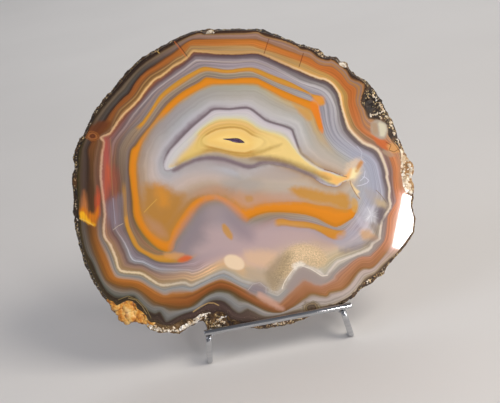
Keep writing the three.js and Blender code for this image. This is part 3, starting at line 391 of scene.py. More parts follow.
# Local stains and patches in the face: outline, how soft its edge is and how far it wanders (mm), sRGB
# colour, strength. The later ones lie over the earlier ones.
STAINS = [
    ("grey_under_eye", "176,172 200,160 225,160 250,169 262,166 285,170 300,176 280,180 250,176 225,168 "
     "200,170", 4, 2, "b4a8a4", 0.6),
    ("tan_over_ring", "196,194 216,186 240,192 262,196 300,190 300,200 262,203 246,208 228,198 205,196",
     5, 3, "c49c84", 0.6),
    ("hill", "176,243 193,215 213,202 227,204 241,221 246,235 235,251 205,259 177,256",
     9, 1.5, "9c929a", 0.75),
    ("hill_dark", "178,240 193,216 206,205 203,230 190,250 177,252", 9, 1.5, "8e848c", 0.6),
    ("hill_light", "206,208 226,206 240,224 232,240 214,238", 9, 1.5, "a89a9e", 0.6),
    ("pink_plain", "213,226 300,230 310,242 262,252 225,254 200,258 194,250 206,240", 9, 2, "c0a8a8", 0.85),
    ("hill_side", "226,212 240,219 252,230 252,240 240,238 230,228", 9, 1.5, "94868e", 0.75),
    ("amber_patch", "143,187 150,184 158,184 167,186 176,192 185,196 181,209 172,223 165,230 159,225 "
     "150,220 143,214", 7, 3, "bc8434", 0.9),
    ("amber_bright", "156,186 165,189 169,196 168,205 161,207 157,199", 6, 3, "dc9430", 0.8),
    ("tan_below_amber", "145,216 152,221 160,225 165,231 168,238 160,237 150,229", 5, 2, "c4906c", 0.6),
    ("amber_strip", "290,189 300,187 316.7,189.5 330,193 344,192.5 349,197 350,207 346,211 338,208 330,205 "
     "316,203 300,198", 4, 2, "cc9238", 0.92),
    ("ring_a_end", "322,229.5 332,231 340,233.5 344,236.5 342,240 336,240 329,237 323,233",
     2, 1, "d48c30", 0.85),
    ("orange_corner", "311,101 318,103 320,112 323.5,131 321,132 316,119 311,108", 1.5, 0.8, "ec8424", 0.85),
    ("corner_knob", "313,98 317,95.5 323,97 324.5,102 320,104.5 315,103", 3, 2.5, "e8983c", 0.85),
    ("blob_under_corner", "293,104 302,108 310,110 312,119 307,120.5 300,113", 2.5, 2, "d49c48", 0.8),
    ("leaf_spot", "222,225 225,224 230,230 233,237 231,240 227,237 223,231", 1.5, 1, "cc9440", 0.85),
    ("small_spot", "245,196 252,196 253,201 247,202", 1.8, 1, "c4904c", 0.7),
    ("red_tip", "180,257.5 186,255.5 191,256.5 191.5,258.5 186,261.5 178,261.5", 2, 1, "e0602c", 0.85),
    ("orange_tip", "164,252.5 176,252.5 184,254 178,258 166,258", 2, 1.5, "e0a464", 0.6),
    ("red_streaks", "105,146 107,140 108.5,150 109,162 111,172 111.5,184 108.5,194 105.5,199 104.5,190 "
     "104.5,160", 4, 2, "d4603c", 0.75),
    ("brown_red_streaks", "113,168 117,166 120,176 119,192 115,198 113,186", 4, 3, "985044", 0.55),
    ("slate_left_streaks", "107,204 112,199 122,195 123,212 122,226 113,229 107,216", 5, 3, "8a8494", 0.5),
    ("pink_streaks", "104,140 107.5,138 108.5,148 108,160 106,164 104,156", 3, 3, "a85058", 0.45),
    ("flame_left_streak", "82,197 84,190 87,201 88,212 84,216 81,210", 3, 2, "c87c44", 0.85),
    ("flame_core_streak", "88,190 91,180 94,198 94,212 90,212", 3, 2, "4c3220", 0.7),
    ("flame_right_streak", "95.5,198 97.5,186 100,197 100,211 96.5,218 95.5,208", 2.5, 2, "d4542c", 0.85),
    ("flame_tip_streak", "79,213 84,207 89,212 94,214 99,206 98,216 94.5,226 87,222",
     2.5, 2.5, "d87c18", 0.9),
    ("flame_gold_streak", "80,213 84,212 88,218 91,222 95,224 94.5,226 88,223 81,219",
     1.6, 2, "ffbe20", 0.95),
    ("dark_orange", "88,130 97,122 110,122 106,130 99,137 92,142", 2.5, 2, "6c3a1c", 0.85),
    ("cream_blob", "224,258 229,255 236,255.5 242,259 244.5,263.5 243,268.5 238,270 231,268.5 226,265",
     1.5, 0.5, "f6dcba", 0.95),
    ("tan_under", "245,252 262,250 276,254 272,266 258,266 246,262", 5, 3, "e4c09c", 0.75),
    ("sandy_druse", "281,262 287,250 299,244 313,246 323,252 327,260 318,268 300,264 290,274 276,290 "
     "271,284", 3, 2, "d8bc94", 0.85),
    ("druse_top", "288,252 300,247 314,250 320,258 306,258 296,262 284,266", 4, 3, "e4c8a0", 0.7),
    ("druse_foot", "246,268 266,270 280,276 288,282 279,291 266,287 250,280", 4, 3, "b8a894", 0.7),
    ("druse_shade", "266,270 278,257 291,251 291,261 285,275 276,289 268,285", 5, 3, "a08c6c", 0.7),
    ("purple_dome", "248,291 253,284 260,283 266,288 266,295 258,294", 4, 1.5, "8c7c82", 0.75),
    # A painted reflection: a pale pink streak that the polish mirrors, not a stain in the stone.
    ("painted_pink_reflection", "258,292 266,295 276,302 284,309 280,310 268,304 258,298", 2.5, 1.5, "d4a894", 0.75),
    ("grey_dome", "297,269 303,265.5 311,269.5 323,276 333,271 330,277 320,285 306,280 300,282 292,290 "
     "286,286", 2.5, 1.5, "a4948e", 0.8),
    ("sugar", "292,266 298,261.5 302,261.5 305,265 300,267 295,270", 1.5, 2.5, "f6ecdc", 0.8),
    ("quartz_zone", "334,240 352,230 364,236 362,246 345,250", 4, 3, "aeaab6", 0.7),
    ("radial_quartz", "361,206 373,206 378,216 371,226 362,222", 5, 4, "bcbcc6", 0.6),
    ("frost", "366,210 373,209 376,215 371,221 366,218", 5, 5, "dcdce2", 0.5),
    ("pale_arm", "356,216 362,219 369,227 372,233 366,232 359,224", 3, 2, "ccc6d0", 0.6),
    ("tan_wedge", "364,188 372,190 380,196 387,203 386,208 379,207 371,203 366,196", 3, 3, "b8a894", 0.75),
    ("tan_wedge_tip", "374,198 380,200 386,204 385,208 378,206", 2.5, 2, "c8b088", 0.7),
    ("tan_triangle", "361,231 368,230 374,234 378,239 368,239.5 362,239", 3, 2, "d4aa80", 0.85),
    ("brown_side", "372,222 377,226 378,236 374,232 371,227", 2, 1.5, "8c7c70", 0.6),
    ("dark_pocket", "376,209 384,208 383,221 377,222", 3.5, 3, "6c6068", 0.8),
    ("dark_edge", "340,250 352,246 364,242 376,236 378,239 368,245 356,249 344,253", 4, 2, "807478", 0.6),
    ("blue_right", "352,150 372,158 378,190 372,205 360,198 356,176", 6, 3, "a8aabc", 0.5),
    ("golden_tail", "314,171 326,172 332,174 338,177.5 345,176 350,177 345,180.5 340,183 337,185.5 332,183 "
     "326,179 318,175", 1.6, 1, "fac470", 0.9),
    ("flame_haze", "345,175 346,167 351,161 357,158.5 362,160 362,168 358,177 350,181", 4, 4, "ecd0b0", 0.75),
    ("flame_bright", "347,179 350,172 355,168 359,168.5 357,175 353,179 349,180", 2.5, 2, "fff0b8", 0.95),
    ("flame_side", "345,177 348,172 351,168 351,174 348,180", 2, 1.5, "f8b45c", 0.8),
    ("orange_core", "355.5,171 357,165 361,160.5 363,163 360,168 357,172", 2, 2, "cc8840", 0.85),
    ("pale_dart", "350,181.5 353,185 356,188.5 360,192 358,193.5 360.5,199 356.5,194.5 353,189",
     1, 0.8, "f6dca4", 0.9),
    ("eye_right", "258,134 280,136 294,148 306,160 320,170 302,168 285,161 262,158 254,148",
     6, 2, "fade90", 0.7),
    ("middle_haze", "222,181 234,177 246,176 258,180 262,185 254,190 242,192 228,189", 7, 2, "b2a8a0", 0.92),
    ("eye_low_haze", "174,168 184,160 195,155.5 206,152.5 216,151.5 226,153.5 236,156.5 246,157.5 "
     "257,156.5 268,157 283,161 300,168.5 316,177 300,172 283,165.5 268,163 258,165.5 250,166.5 243,165.5 "
     "234,162.5 225,159.5 215,157.8 205,158 195,160 185,164.5 177,169", 2.5, 1, "b0a294", 0.92),
    ("eye_gold_band", "176,163 185,157 195,152.5 206,149 216,148.5 226,150.5 236,153 246,154.3 257,151.5 "
     "268,148 282,144 270,149.5 258,154 246,157 236,156 226,153.5 216,151.5 206,152.5 195,156 185,160.5 "
     "177,166", 2.5, 1, "bc9448", 0.85),
    ("eye_gold_low", "250,158.5 266,156.5 285,159 312,169.5 330,179 318,178.5 300,171 280,164 264,161.5",
     4, 1.5, "90703e", 0.75),
    ("eye_brown_low", "172,170 183,163.5 194,158.5 205,156 215,155.8 226,157.5 236,161 246,164 252,164.3 "
     "263,161 282,163.3 302,169.8 320,179.3 335,185 328,184 312,177 292,168.7 278,165 264,164 252,168.3 "
     "244,168 235,165 225,161.5 215,160 205,160 195,162 185,166.5 175,172", 2, 0.6, "7e6c74", 0.92),
    ("eye_left_wing", "164,168 168,158 176,148 188,139 196,136 190,147 182,155 176,162 168,168",
     5, 2, "d2d0d4", 0.9),
    ("eye_left_gold", "178,160 190,147 204,135 206,146 198,154 186,160", 4, 2, "ecd07c", 0.7),
    ("milky_quartz", "371,125 374,120.5 379,119.5 384,122 387,127 387.5,133 385,138 380,140 375,137 "
     "371,131", 1.6, 1.5, "b4a898", 0.9),
    ("clear_quartz", "379,123 384,124 386.5,129 385.5,134 381,137 379,131", 1.8, 2, "dcd6bc", 0.9),
    ("brown_quartz", "371.5,124 376,124 378,130 377,136 373,133", 1.8, 2, "b49678", 0.8),
    ("orange_below_quartz", "372,136 380,139 388,142 392,148 386,150 377,144", 1.5, 1.5, "d06c38", 0.85),
    ("gold_below_quartz", "387,145 392,143 398,146 400,152 394,153.5 389,151", 1.5, 2, "dca464", 0.85),
    ("grey_below_quartz", "382,150 389,151 395,155 391,157 384,154", 1.5, 1.5, "b49c84", 0.7),
    ("tan_bit", "352,198 358,202 357,213 352,210", 1.5, 1, "d4a458", 0.8),
]
# Cracks and thin veins: the steps along them, half width (mm), sRGB colour.
VEINS = [
    ("174,41 186,57", 0.16, "cc6a30"),
    ("176,41 187.5,56.5", 0.12, "5a2c1c"),
    ("269,38.5 264,54", 0.12, "7c3c20"),
    ("303.5,53 299,67", 0.14, "6c3420"),
    ("156,49.5 159.5,53.5", 0.16, "d8b060"),
    ("74,216 80,218.5 87,221.5 93.5,225.5", 0.25, "f0c058"),
    ("113,230 118,226 123,223.5", 0.12, "c0b0a0"),
    ("144,212.5 150,206 157,199", 0.18, "d8aa50"),
    ("350,180.5 351,185 353.5,190 357,195.5 360,199", 0.12, "a06c3c"),
    ("324,169.5 333,172 341,175.5 347,177", 0.14, "8c6038"),
    ("110.5,138 111.5,160 111.8,180 112.8,196", 0.1, "a07850"),
    ("113,198 114,210 115.5,224", 0.14, "a49eac"),
    ("376,190 381,195 386.5,203", 0.12, "8c7860"),
    ("386,142 391,145 389,150 394,152 399,149", 0.06, "6c4020"),
    ("391,140 396,146 400,152", 0.06, "7c4a24"),
    ("248,290 253,284 260,282.5 266,287.5 266,293", 0.05, "c0b4b0"),
    ("282,289 284,283 287,278 292,271 298,265", 0.22, "f2e8d8"),
    ("298,265 304,266.5 310,268.5 316,272 322,276 328,275", 0.22, "f0e6d6"),
    ("357,186 362,185 367,183 369,180.5 365,177 362.5,177", 0.1, "dcdce8"),
    ("365,171 364.5,177 360,181", 0.08, "dcdce8"),
    ("357,146 362,152 361,158 366,163", 0.1, "c4c4d0"),
    ("128,298 136,300 142,306 147,314", 0.13, "a08858"),
    ("118,300 128,296 138,300 146,308 151,318", 0.10, "8c7848"),
    ("193,312 200,307 208,303 214,303 219,305.5", 0.22, "c8a468"),
]
# A star of white quartz needles beside the right end of the rings: its middle, and how far it reaches (mm).
NEEDLE_STAR = (371, 215)
NEEDLE_REACH = 5.0
# How light the rind is in each direction, and its coloured crusts: middle, reach (mm), colour. The light rind
# on the right and the pale crust at the right edge are partly painted highlight, the lamp's glare beside the
# mirrored lamp.
RIND_TINTS = {
    "right": "d8b890", "upper_right": "94806c", "top": "5c4434", "upper_left": "a08866", "left": "94805c",
    "lower_left": "a49474", "bottom": "d0bc98", "lower_right": "b49878",
}
CRUSTS = [
    ((130, 313), 12, "d08c3c"), ((407, 172), 12, "dcc49c"), ((211, 31), 4, "f0e4d0"),
    ((344, 65), 4, "f0e8dc"), ((168, 330), 10, "a89070"), ((376, 103), 9, "241811"),
    ((77, 182), 3.5, "c89434"), ((390, 130), 6, "2c2018"),
]
# Small uneven ringed eyes in the bands: middle, reach (mm), and sRGB colours with alpha from the middle (0)
# outward (1).
ROUND_EYES = [
    ((92.5, 136), 3.2, "0:7a4424c0 .3:5c3018b0 .45:a86434c0 .6:b8783ca0 .7:6c3a1cb0 .85:b46c3090 1:7a442400"),
    ((311.5, 308), 4.6, "0:3a2c20e0 .25:5c4630e0 .35:342820e0 .5:8c7248d0 .6:4c3e2cc0 .72:a08c64b0 "
                        ".8:5c4e3a90 .92:8c806860 1:94949000"),
]


def colour(code):
    """An sRGB hex colour, with or without alpha, as linear red, green, blue and alpha."""
    parts = [int(code[i:i + 2], 16) / 255 for i in range(0, len(code), 2)]
    linear = [c / 12.92 if c <= 0.04045 else ((c + 0.055) / 1.055) ** 2.4 for c in parts[:3]]
    return (*linear, parts[3] if len(parts) > 3 else 1.0)


def on_face(steps):
    """Traced steps as places in millimetres right of and above the slice's middle."""
    return (np.array(steps, float) - TRACE_MIDDLE) * (TRACE_STEP, -TRACE_STEP)


def trace(text):
    """The points of a traced outline, right of and above the slice's middle."""
    return on_face([[float(value) for value in pair.split(",")] for pair in text.split()])


def rounded(points, cuts=3):
    """A closed outline with the corners of its listed points rounded off by a smooth curve."""
    before, after, far = np.roll(points, 1, 0), np.roll(points, -1, 0), np.roll(points, -2, 0)
    rows = []
    for t in np.arange(cuts) / cuts:
        bend = (2 * before - 5 * points + 4 * after - far) * t ** 2
        twist = (3 * points - before - 3 * after + far) * t ** 3
        rows.append(0.5 * (2 * points + (after - before) * t + bend + twist))
    return np.stack(rows, 1).reshape(-1, 2)


def is_inside(places, outline):
    """Which places are inside a closed outline."""
    inside = np.zeros(len(places), bool)
    x, y = places[:, 0], places[:, 1]
    for (x0, y0), (x1, y1) in zip(outline, np.roll(outline, -1, 0)):
        if y0 == y1:
            continue
        crosses = (y0 > y) != (y1 > y)
        inside ^= crosses & (x < (x1 - x0) * (y - y0) / (y1 - y0) + x0)
    return inside


def distance_to(places, outline):
    """Each place's distance to a closed outline, in millimetres, negative outside it."""
    nearest = np.full(len(places), 1e9)
    for start, end in zip(outline, np.roll(outline, -1, 0)):
        along = end - start
        t = np.clip(((places - start) @ along) / max(along @ along, 1e-9), 0, 1)
        nearest = np.minimum(nearest, ((places - start - t[:, None] * along) ** 2).sum(1))
    return np.where(is_inside(places, outline), 1, -1) * np.sqrt(nearest)


def distance_near(places, outline):
    """The same, worked out only near the outline, and STAIN_REACH outside it elsewhere."""
    low, high = outline.min(0) - STAIN_REACH, outline.max(0) + STAIN_REACH
    near = ((places > low) & (places < high)).all(1)
    distance = np.full(len(places), -STAIN_REACH)
    distance[near] = np.maximum(distance_to(places[near], outline), -STAIN_REACH)
    return distance


def smooth(share):
    """A share from 0 to 1 that starts and ends gently."""
    return share * share * (3 - 2 * share)


def strongest(places, patches):
    """How much soft-edged traced patches count at each place: the strongest one where they overlap."""
    share = np.zeros(len(places))
    for text, softness, strength in patches:
        inside = distance_near(places, rounded(trace(text))) / softness + 0.5
        share = np.maximum(share, strength * smooth(np.clip(inside, 0, 1)))
    return share


def radius_of(text):
    """The distance from the slice's middle to a traced outline, for an array of angles."""
    points = trace(text)
    angles = np.arctan2(points[:, 1], points[:, 0]) % (2 * math.pi)
    order = np.argsort(angles)
    points, angles = points[order], angles[order]

    def radius(turn):
        after = np.searchsorted(angles, turn, side="right") % len(angles)
        a, b = points[after - 1], points[after]
        edge = b - a
        across = np.cos(turn) * edge[:, 1] - np.sin(turn) * edge[:, 0]
        return (a[:, 0] * edge[:, 1] - a[:, 1] * edge[:, 0]) / across

    return radius


# The frame's origin, found from the front bar's place in it, and the slice's own directions
bar_low, bar_high = (np.array(corner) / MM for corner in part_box("front_bar"))
BAR_X = STAND_MIDDLE_X + FRONT_BAR_SHIFT
BAR_Y = -FRONT_BAR_BELOW_MIDDLE * math.sin(LEAN) - FRONT_BAR_BEFORE_FACE * math.cos(LEAN)
BAR_Z = MIDDLE_HEIGHT - FRONT_BAR_BELOW_MIDDLE * math.cos(LEAN) + FRONT_BAR_BEFORE_FACE * math.sin(LEAN)
SHIFT = (bar_low + bar_high) / 2 - (BAR_X, BAR_Y, BAR_Z)

ACROSS = np.array([math.cos(TURN), -math.sin(TURN) * math.sin(LEAN), -math.sin(TURN) * math.cos(LEAN)])
UPWARD = np.array([math.sin(TURN), math.cos(TURN) * math.sin(LEAN), math.cos(TURN) * math.cos(LEAN)])
FORWARD = np.array([0, -math.cos(LEAN), math.sin(LEAN)])
FACE_MIDDLE = SHIFT + (0, 0, MIDDLE_HEIGHT)


def in_place(points):
    """Points right of, above and before the face's middle (mm) as places in the frame, in metres."""
    points = np.asarray(points, float)
    return (FACE_MIDDLE + points @ np.array([ACROSS, UPWARD, FORWARD])) * MM


def on_lean(up, front):
    """(y, z) in the stand's side view of a point up the slice's lean and in front of its face, in mm."""
    return (up * math.sin(LEAN) - front * math.cos(LEAN),
            MIDDLE_HEIGHT + up * math.cos(LEAN) + front * math.sin(LEAN))


def new_piece(name, vertices, faces, node_name):
    mesh = bpy.data.meshes.new(name)
    mesh.from_pydata([tuple(v) for v in vertices], [], faces)
    mesh.validate()
    piece = bpy.data.objects.new(name, mesh)
    bpy.context.collection.objects.link(piece)
    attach(piece, "root")
    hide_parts(node_name)
    return piece


# How far each seed moves on through the noise
SEED_SHIFT = (17.3, 5.1, 9.7)


def grain(points, size, seed):
    """Smooth noise between about -1 and 1 at each point (mm), with knobs of the given size."""
    shift = Vector([seed * step for step in SEED_SHIFT])
    return np.array([noise.noise(Vector(p) / size + shift) for p in points])


# The slice: the polished front, the rough rim and the back, one closed stone with the slit through it
polished_radius, widest_radius = radius_of(POLISHED), radius_of(WIDEST)
# Rings round the rim, from the face to the back: share of the way out to the widest outline, depth below the
# face and way in from there (mm)
OUTWARD_RINGS = [
    (0, 0, 0), (0.04, 0.35, 0), (0.1, 0.8, 0), (0.22, 1.1, 0), (0.36, 1.3, 0),
    (0.5, 1.5, 0), (0.64, 1.8, 0), (0.78, 2.15, 0), (0.9, 2.6, 0), (1, 3.2, 0),
]
RIM_RINGS = OUTWARD_RINGS + [
    (1, 3.9, 0.02), (1, 4.6, 0.08), (1, 5.2, 0.16), (1, 5.8, 0.28), (1, 6.4, 0.5), (1, THICKNESS, 0.9),
]
# The rim's rough skin, in millimetres: its knobs, and how far they and the pits move it outward and up
KNOB_SIZE = 2.9
FINE_KNOB_SIZE = 1.1
PIT_SIZE = 0.7 * FINE_KNOB_SIZE
FINE_KNOB_SHARE = 0.55
KNOBS_OUTWARD, PITS_INWARD, ALL_OUTWARD = 0.45, 0.5, 0.12
MOST_INWARD, MOST_OUTWARD = -0.9, 0.6
KNOBS_UP, MOST_UP, PIT_SHARE = 0.4, 1.2, 0.7


def rim_vertices():
    """The points of each ring round the rim."""
    turn = np.arange(RIM_COLUMNS) / RIM_COLUMNS * 2 * math.pi
    inner, outer = polished_radius(turn), widest_radius(turn)
    direction = np.stack([np.cos(turn), np.sin(turn)], 1)
    rings = []
    for out, depth, inside in RIM_RINGS:
        radius = inner + (outer - inner) * out - inside
        points = np.concatenate([direction * radius[:, None], np.full((RIM_COLUMNS, 1), -depth)], 1)
        if 0 < depth < THICKNESS:
            width = (outer - inner) * out
            knobs = grain(points, KNOB_SIZE, 1) + FINE_KNOB_SHARE * grain(points, FINE_KNOB_SIZE, 2)
            pits = np.abs(grain(points, PIT_SIZE, 3))
            outward = KNOBS_OUTWARD * knobs - PITS_INWARD * pits + ALL_OUTWARD
            outward = out * np.clip(outward, MOST_INWARD, MOST_OUTWARD)
            points[:, :2] += direction * (outward + radius * depth / VIEW_DISTANCE)[:, None]
            high = np.minimum(KNOBS_UP * (1 + width / KNOB_SIZE), MOST_UP) * np.minimum(1, width)
            raised = points[:, 2] + high * (knobs - PIT_SHARE * pits)
            points[:, 2] = np.minimum(raised, -RIM_BELOW_FACE * min(1, 4 * out))
        rings.append(points)
    return rings


# The slit: how little its ends draw in with its height, depths below the face (mm) with the share of its
# full height there, and the roughness of its walls (mm)
SLIT_END_SHARE = 0.15
SLIT_DEPTHS = [(0.4, 0.85), (1.0, 0.5), (1.6, SLIT_WAIST), (4.2, SLIT_WAIST), (5.6, 0.7)]
WALL_ROUGHNESS = 0.1
WALL_KNOB_SIZE = 1.2
# The even grid of points over a flat side: how far it reaches (mm), and how many steps it keeps off the edges
GRID_HALF_WIDTH, GRID_HALF_HEIGHT = 90, 82
GRID_OFF_EDGES = 0.45


def slit_edge(share=1.0):
    """The slit's outline, with its height drawn in to a share of the full one."""
    top, bottom = trace(SLIT_TOP), trace(SLIT_BOTTOM)
    angle = np.arange(SLIT_POINTS) / SLIT_POINTS * 2 * math.pi
    left, right = top[0, 0], top[-1, 0]
    x = (left + right) / 2 + (right - left) / 2 * np.cos(angle) * share ** SLIT_END_SHARE
    over, under = np.interp(x, *top.T), np.interp(x, *bottom.T)
    y = (over + under) / 2 + (over - under) / 2 * np.sign(np.sin(angle)) * share
    return np.stack([x, y], 1)


def flat_side(edge, slit, step):
    """Triangles over one flat side: its edge and the slit's edge with an even grid of points between them."""
    rows = []
    for row, y in enumerate(np.arange(-GRID_HALF_HEIGHT, GRID_HALF_HEIGHT, step * math.sqrt(3) / 2)):
        x = np.arange(-GRID_HALF_WIDTH, GRID_HALF_WIDTH, step) + (row % 2) * step / 2
        rows.append(np.stack([x, np.full(len(x), y)], 1))
    grid = np.concatenate(rows)
    clear = GRID_OFF_EDGES * step
    grid = grid[(distance_to(grid, edge) > clear) & (distance_to(grid, slit) < -clear)]
    places = np.concatenate([edge, slit, grid])
    loops = []
    for first, count in ((0, len(edge)), (len(edge), len(slit))):
        loops += [(first + i, first + (i + 1) % count) for i in range(count)]
    cut = delaunay_2d_cdt([Vector(p) for p in places.tolist()], loops, [], 0, 1e-7)
    faces = np.array(cut[2])
    middles = places[faces].mean(1)
    faces = faces[is_inside(middles, edge) & ~is_inside(middles, slit)]
    a, b, c = (places[faces[:, i]] for i in range(3))
    ahead = (b[:, 0] - a[:, 0]) * (c[:, 1] - a[:, 1]) - (b[:, 1] - a[:, 1]) * (c[:, 0] - a[:, 0])
    faces[ahead < 0] = faces[ahead < 0][:, ::-1]
    return places, faces


rings = rim_vertices()
slit = slit_edge()
front_places, front_faces = flat_side(rings[0][:, :2], slit, FACE_STEP)
back_places, back_faces = flat_side(rings[-1][:, :2], slit, BACK_STEP)
front = np.concatenate([front_places, np.zeros((len(front_places), 1))], 1)
back = np.concatenate([back_places, np.full((len(back_places), 1), -THICKNESS)], 1)
middle_rings = np.concatenate(rings[1:-1])
slit_walls = []
for depth, share in SLIT_DEPTHS:
    wall = np.concatenate([slit_edge(share), np.full((SLIT_POINTS, 1), -depth)], 1)
    wall[:, 1] += WALL_ROUGHNESS * share * grain(wall, WALL_KNOB_SIZE, 4)
    slit_walls.append(wall)
stone_points = np.concatenate([front, back, middle_rings] + slit_walls)
back_start = len(front)
ring_start = back_start + len(back)
wall_start = ring_start + len(middle_rings)


def ring_index(ring, column):
    """The vertex of a ring at a column: the first and last rings belong to the flat sides."""
    column %= RIM_COLUMNS
    if ring == 0:
        return column
    if ring == len(RIM_RINGS) - 1:
        return back_start + column
    return ring_start + (ring - 1) * RIM_COLUMNS + column


stone_faces = [tuple(f) for f in front_faces.tolist()]
stone_faces += [tuple(back_start + i for i in reversed(f)) for f in back_faces.tolist()]
flat_count = len(stone_faces)
wall_starts = [RIM_COLUMNS] + [wall_start + i * SLIT_POINTS for i in range(len(SLIT_DEPTHS))]
wall_starts.append(back_start + RIM_COLUMNS)
for column in range(SLIT_POINTS):
    after = (column + 1) % SLIT_POINTS
    for upper, lower in zip(wall_starts, wall_starts[1:]):
        stone_faces.append((upper + after, upper + column, lower + column, lower + after))
for ring in range(len(RIM_RINGS) - 1):
    for column in range(RIM_COLUMNS):
        stone_faces.append((ring_index(ring, column), ring_index(ring + 1, column),
                            ring_index(ring + 1, column + 1), ring_index(ring, column + 1)))


def kept_in_box(points):
    """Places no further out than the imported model's own box."""
    low, high = (np.array(corner) for corner in cad_box)
    return np.clip(points, low + BOX_MARGIN * MM, high - BOX_MARGIN * MM)


stone = new_piece("agate", kept_in_box(in_place(stone_points)), stone_faces, "agate_slice")
on_sides = stone_points[:ring_start, :2]


def keep_values(piece, name, values):
    """Stores a value for each point of a piece, for its material to read."""
    layer = piece.data.attributes.new(name, "FLOAT", "POINT")
    layer.data.foreach_set("value", np.array(values, np.float32))


def keep_on_stone(name, values, rest=0.0):
    """Stores a value for each point of the stone: the given ones on the flat sides, one value elsewhere."""
    full = np.full(len(stone_points), float(rest))
    full[:len(values)] = values
    keep_values(stone, name, full)


def band_levels(places):
    """How far in through the nested bands each place lies: whole numbers on the bands' own lines."""
    outlines = [rounded(trace(text)) for text in NESTED_BANDS]
    edge = trace(POLISHED)
    distances = [distance_to(places, edge)] + [distance_to(places, outline) for outline in outlines]
    level = np.zeros(len(places))
    within = np.ones(len(places), bool)
    for i in range(len(outlines)):
        to_outer, to_inner = np.abs(distances[i]), np.abs(distances[i + 1])
        level = np.where(within, i + to_outer / (to_outer + to_inner + 1e-6), level)
        within &= distances[i + 1] > 0
    deep = np.clip(np.abs(distances[-1]) / LENS_DEPTH, 0, 0.99)
    return np.where(within, len(outlines) + deep, level), distances


def direction_weights(points):
    """Each point's shares in the eight directions, from its angle round the slice's middle."""
    turns = np.degrees(np.arctan2(points[:, 1], points[:, 0]))
    angles = list(DIRECTIONS.values())
    weights = np.zeros((len(points), len(angles)))
    for i, here in enumerate(angles):
        away = (turns - here + 180) % 360 - 180
        gap_after = (angles[(i + 1) % len(angles)] - here) % 360
        gap_before = (here - angles[i - 1]) % 360
        weights[:, i] = np.clip(1 - np.where(away > 0, away / gap_after, -away / gap_before), 0, 1)
    weights = smooth(weights)
    return weights / weights.sum(1, keepdims=True)


# A distance (mm) that reaches no line, and the level between rings A and B
FAR_OFF = -50
BETWEEN_RINGS = 7.5
# How strong the line round the eye is, how much of that it loses where it fades, and how softly (mm)
EYE_LINE_STRONG, EYE_LINE_LOSS, EYE_LINE_FADING = 0.9, 0.8, 6
# What the stone's materials read at each point: its place, its band, its distances to lines and stains in
# millimetres, its iron and its directions
levels, distances = band_levels(on_sides)
keep_on_stone("band", levels)
keep_on_stone("from_cream_line", distances[NESTED_BANDS.index(CREAM_LINE) + 1], FAR_OFF)
keep_on_stone("from_eye_line", distances[NESTED_BANDS.index(EYE_LINE) + 1], FAR_OFF)
iron_in_a, lacking_in_b = strongest(on_sides, RING_A_IRON), strongest(on_sides, RING_B_WITHOUT_IRON)
keep_on_stone("iron", np.where(levels > BETWEEN_RINGS, 1 - lacking_in_b, iron_in_a))
for stain_name, text, *_ in STAINS:
    keep_on_stone("stain_" + stain_name, distance_near(on_sides, rounded(trace(text))), -STAIN_REACH)
keep_on_stone("cloudy", strongest(on_sides, CLOUDY_PARTS))
faint = strongest(on_sides, [(EYE_LINE_FAINT, EYE_LINE_FADING, 1)])
keep_on_stone("eye_line_strength", EYE_LINE_STRONG - EYE_LINE_LOSS * faint)
weights = direction_weights(stone_points)
for part in range(2):
    layer = stone.data.attributes.new("directions_%d" % part, "FLOAT_COLOR", "POINT")
    layer.data.foreach_set("color", weights[:, 4 * part:4 * part + 4].astype(np.float32).ravel())
layer = stone.data.attributes.new("face_place", "FLOAT_VECTOR", "POINT")
layer.data.foreach_set("vector", stone_points.astype(np.float32).ravel())


# The crystals and knobs in the rough rim: where they start and end round it, on the traced grid, how many,
# how large (mm), over what share of the rim's width they spread inward from its outer edge, and how white
# they are, from 0 for honey-coloured to 1 for white.
CRYSTAL_PATCHES = [
    ((370, 90), (392, 123), 16, 1.0, 0.12, 0.5),
    ((391, 119), (405, 152), 34, 0.8, 0.25, 0.4),
    ((404, 150), (413.5, 193), 110, 1.6, 1.0, 0.6),
    ((226, 322), (147, 326), 60, 1.0, 0.5, 0.5),
    ((386, 268), (366, 285), 26, 0.8, 0.9, 0.2),
    ((304, 319), (256, 329), 60, 0.8, 0.7, 0.2),
    ((296, 42), (341, 62), 40, 0.8, 0.6, 0.4),
    ((76, 186), (105, 96), 70, 0.6, 0.6, 0.1),
    ((74, 200), (102, 296), 120, 0.6, 0.6, 0.6),
    ((105, 96), (196, 31), 60, 0.5, 0.5, 0.1),
]
# Rows of crystals along traced steps: how many, how large, how white.
CRYSTAL_ROWS = [
    ("371,115 378,113 385,110.5", 16, 1.3, 0.7),
    ("372.5,91.5 375,95 378.5,100", 10, 1.1, 0.6),
    ("380,101.5 383.5,108", 6, 1.2, 0.6),
    ("369,96.5 370.5,96.5", 2, 0.9, 0.4),
    ("382,115.5 382,118.5", 2, 0.9, 0.6),
    ("193,320 203,315.5 212,311.5", 20, 1.3, 0.9),
    ("213,325 220,320 227,316", 14, 1.1, 0.9),
    ("146,325 152,329.5 164,331.5 178,331.5 190,325.5 198,320.5", 50, 1.4, 0.9),
    ("206.5,31.2 210,30.8 213.5,31.5", 14, 1.6, 1.0),
    ("341,63.8 344,64 347,65.5", 12, 1.7, 1.0),
]
# The patch of golden knobs, in the same way, and the largest knobs one by one: middle, size (mm)
GOLD_PATCH = ((150, 328), (109, 301), 110, 2.3, 0.97)
GOLD_KNOBS = [
    ((128.5, 306.5), 3.9), ((116, 306), 2.6), ((120, 311), 3.0), ((138, 313), 2.6), ((122, 317.5), 2.5),
    ((131, 316), 3.2), ((140, 318.5), 2.6), ((113, 303), 2.0), ((127, 320), 2.2),
]
# The seeds of the random draws, and of the first large knob's bumps
CRYSTAL_SEED = 11
GOLD_SEED = 5
FIRST_GOLD_KNOB = 40
# The smallest crystal or knob of a patch and the range above it, in shares of the patch's own size
SMALLEST_CRYSTAL, CRYSTAL_RANGE = 0.55, 0.9
SMALLEST_KNOB, KNOB_RANGE = 0.35, 0.65
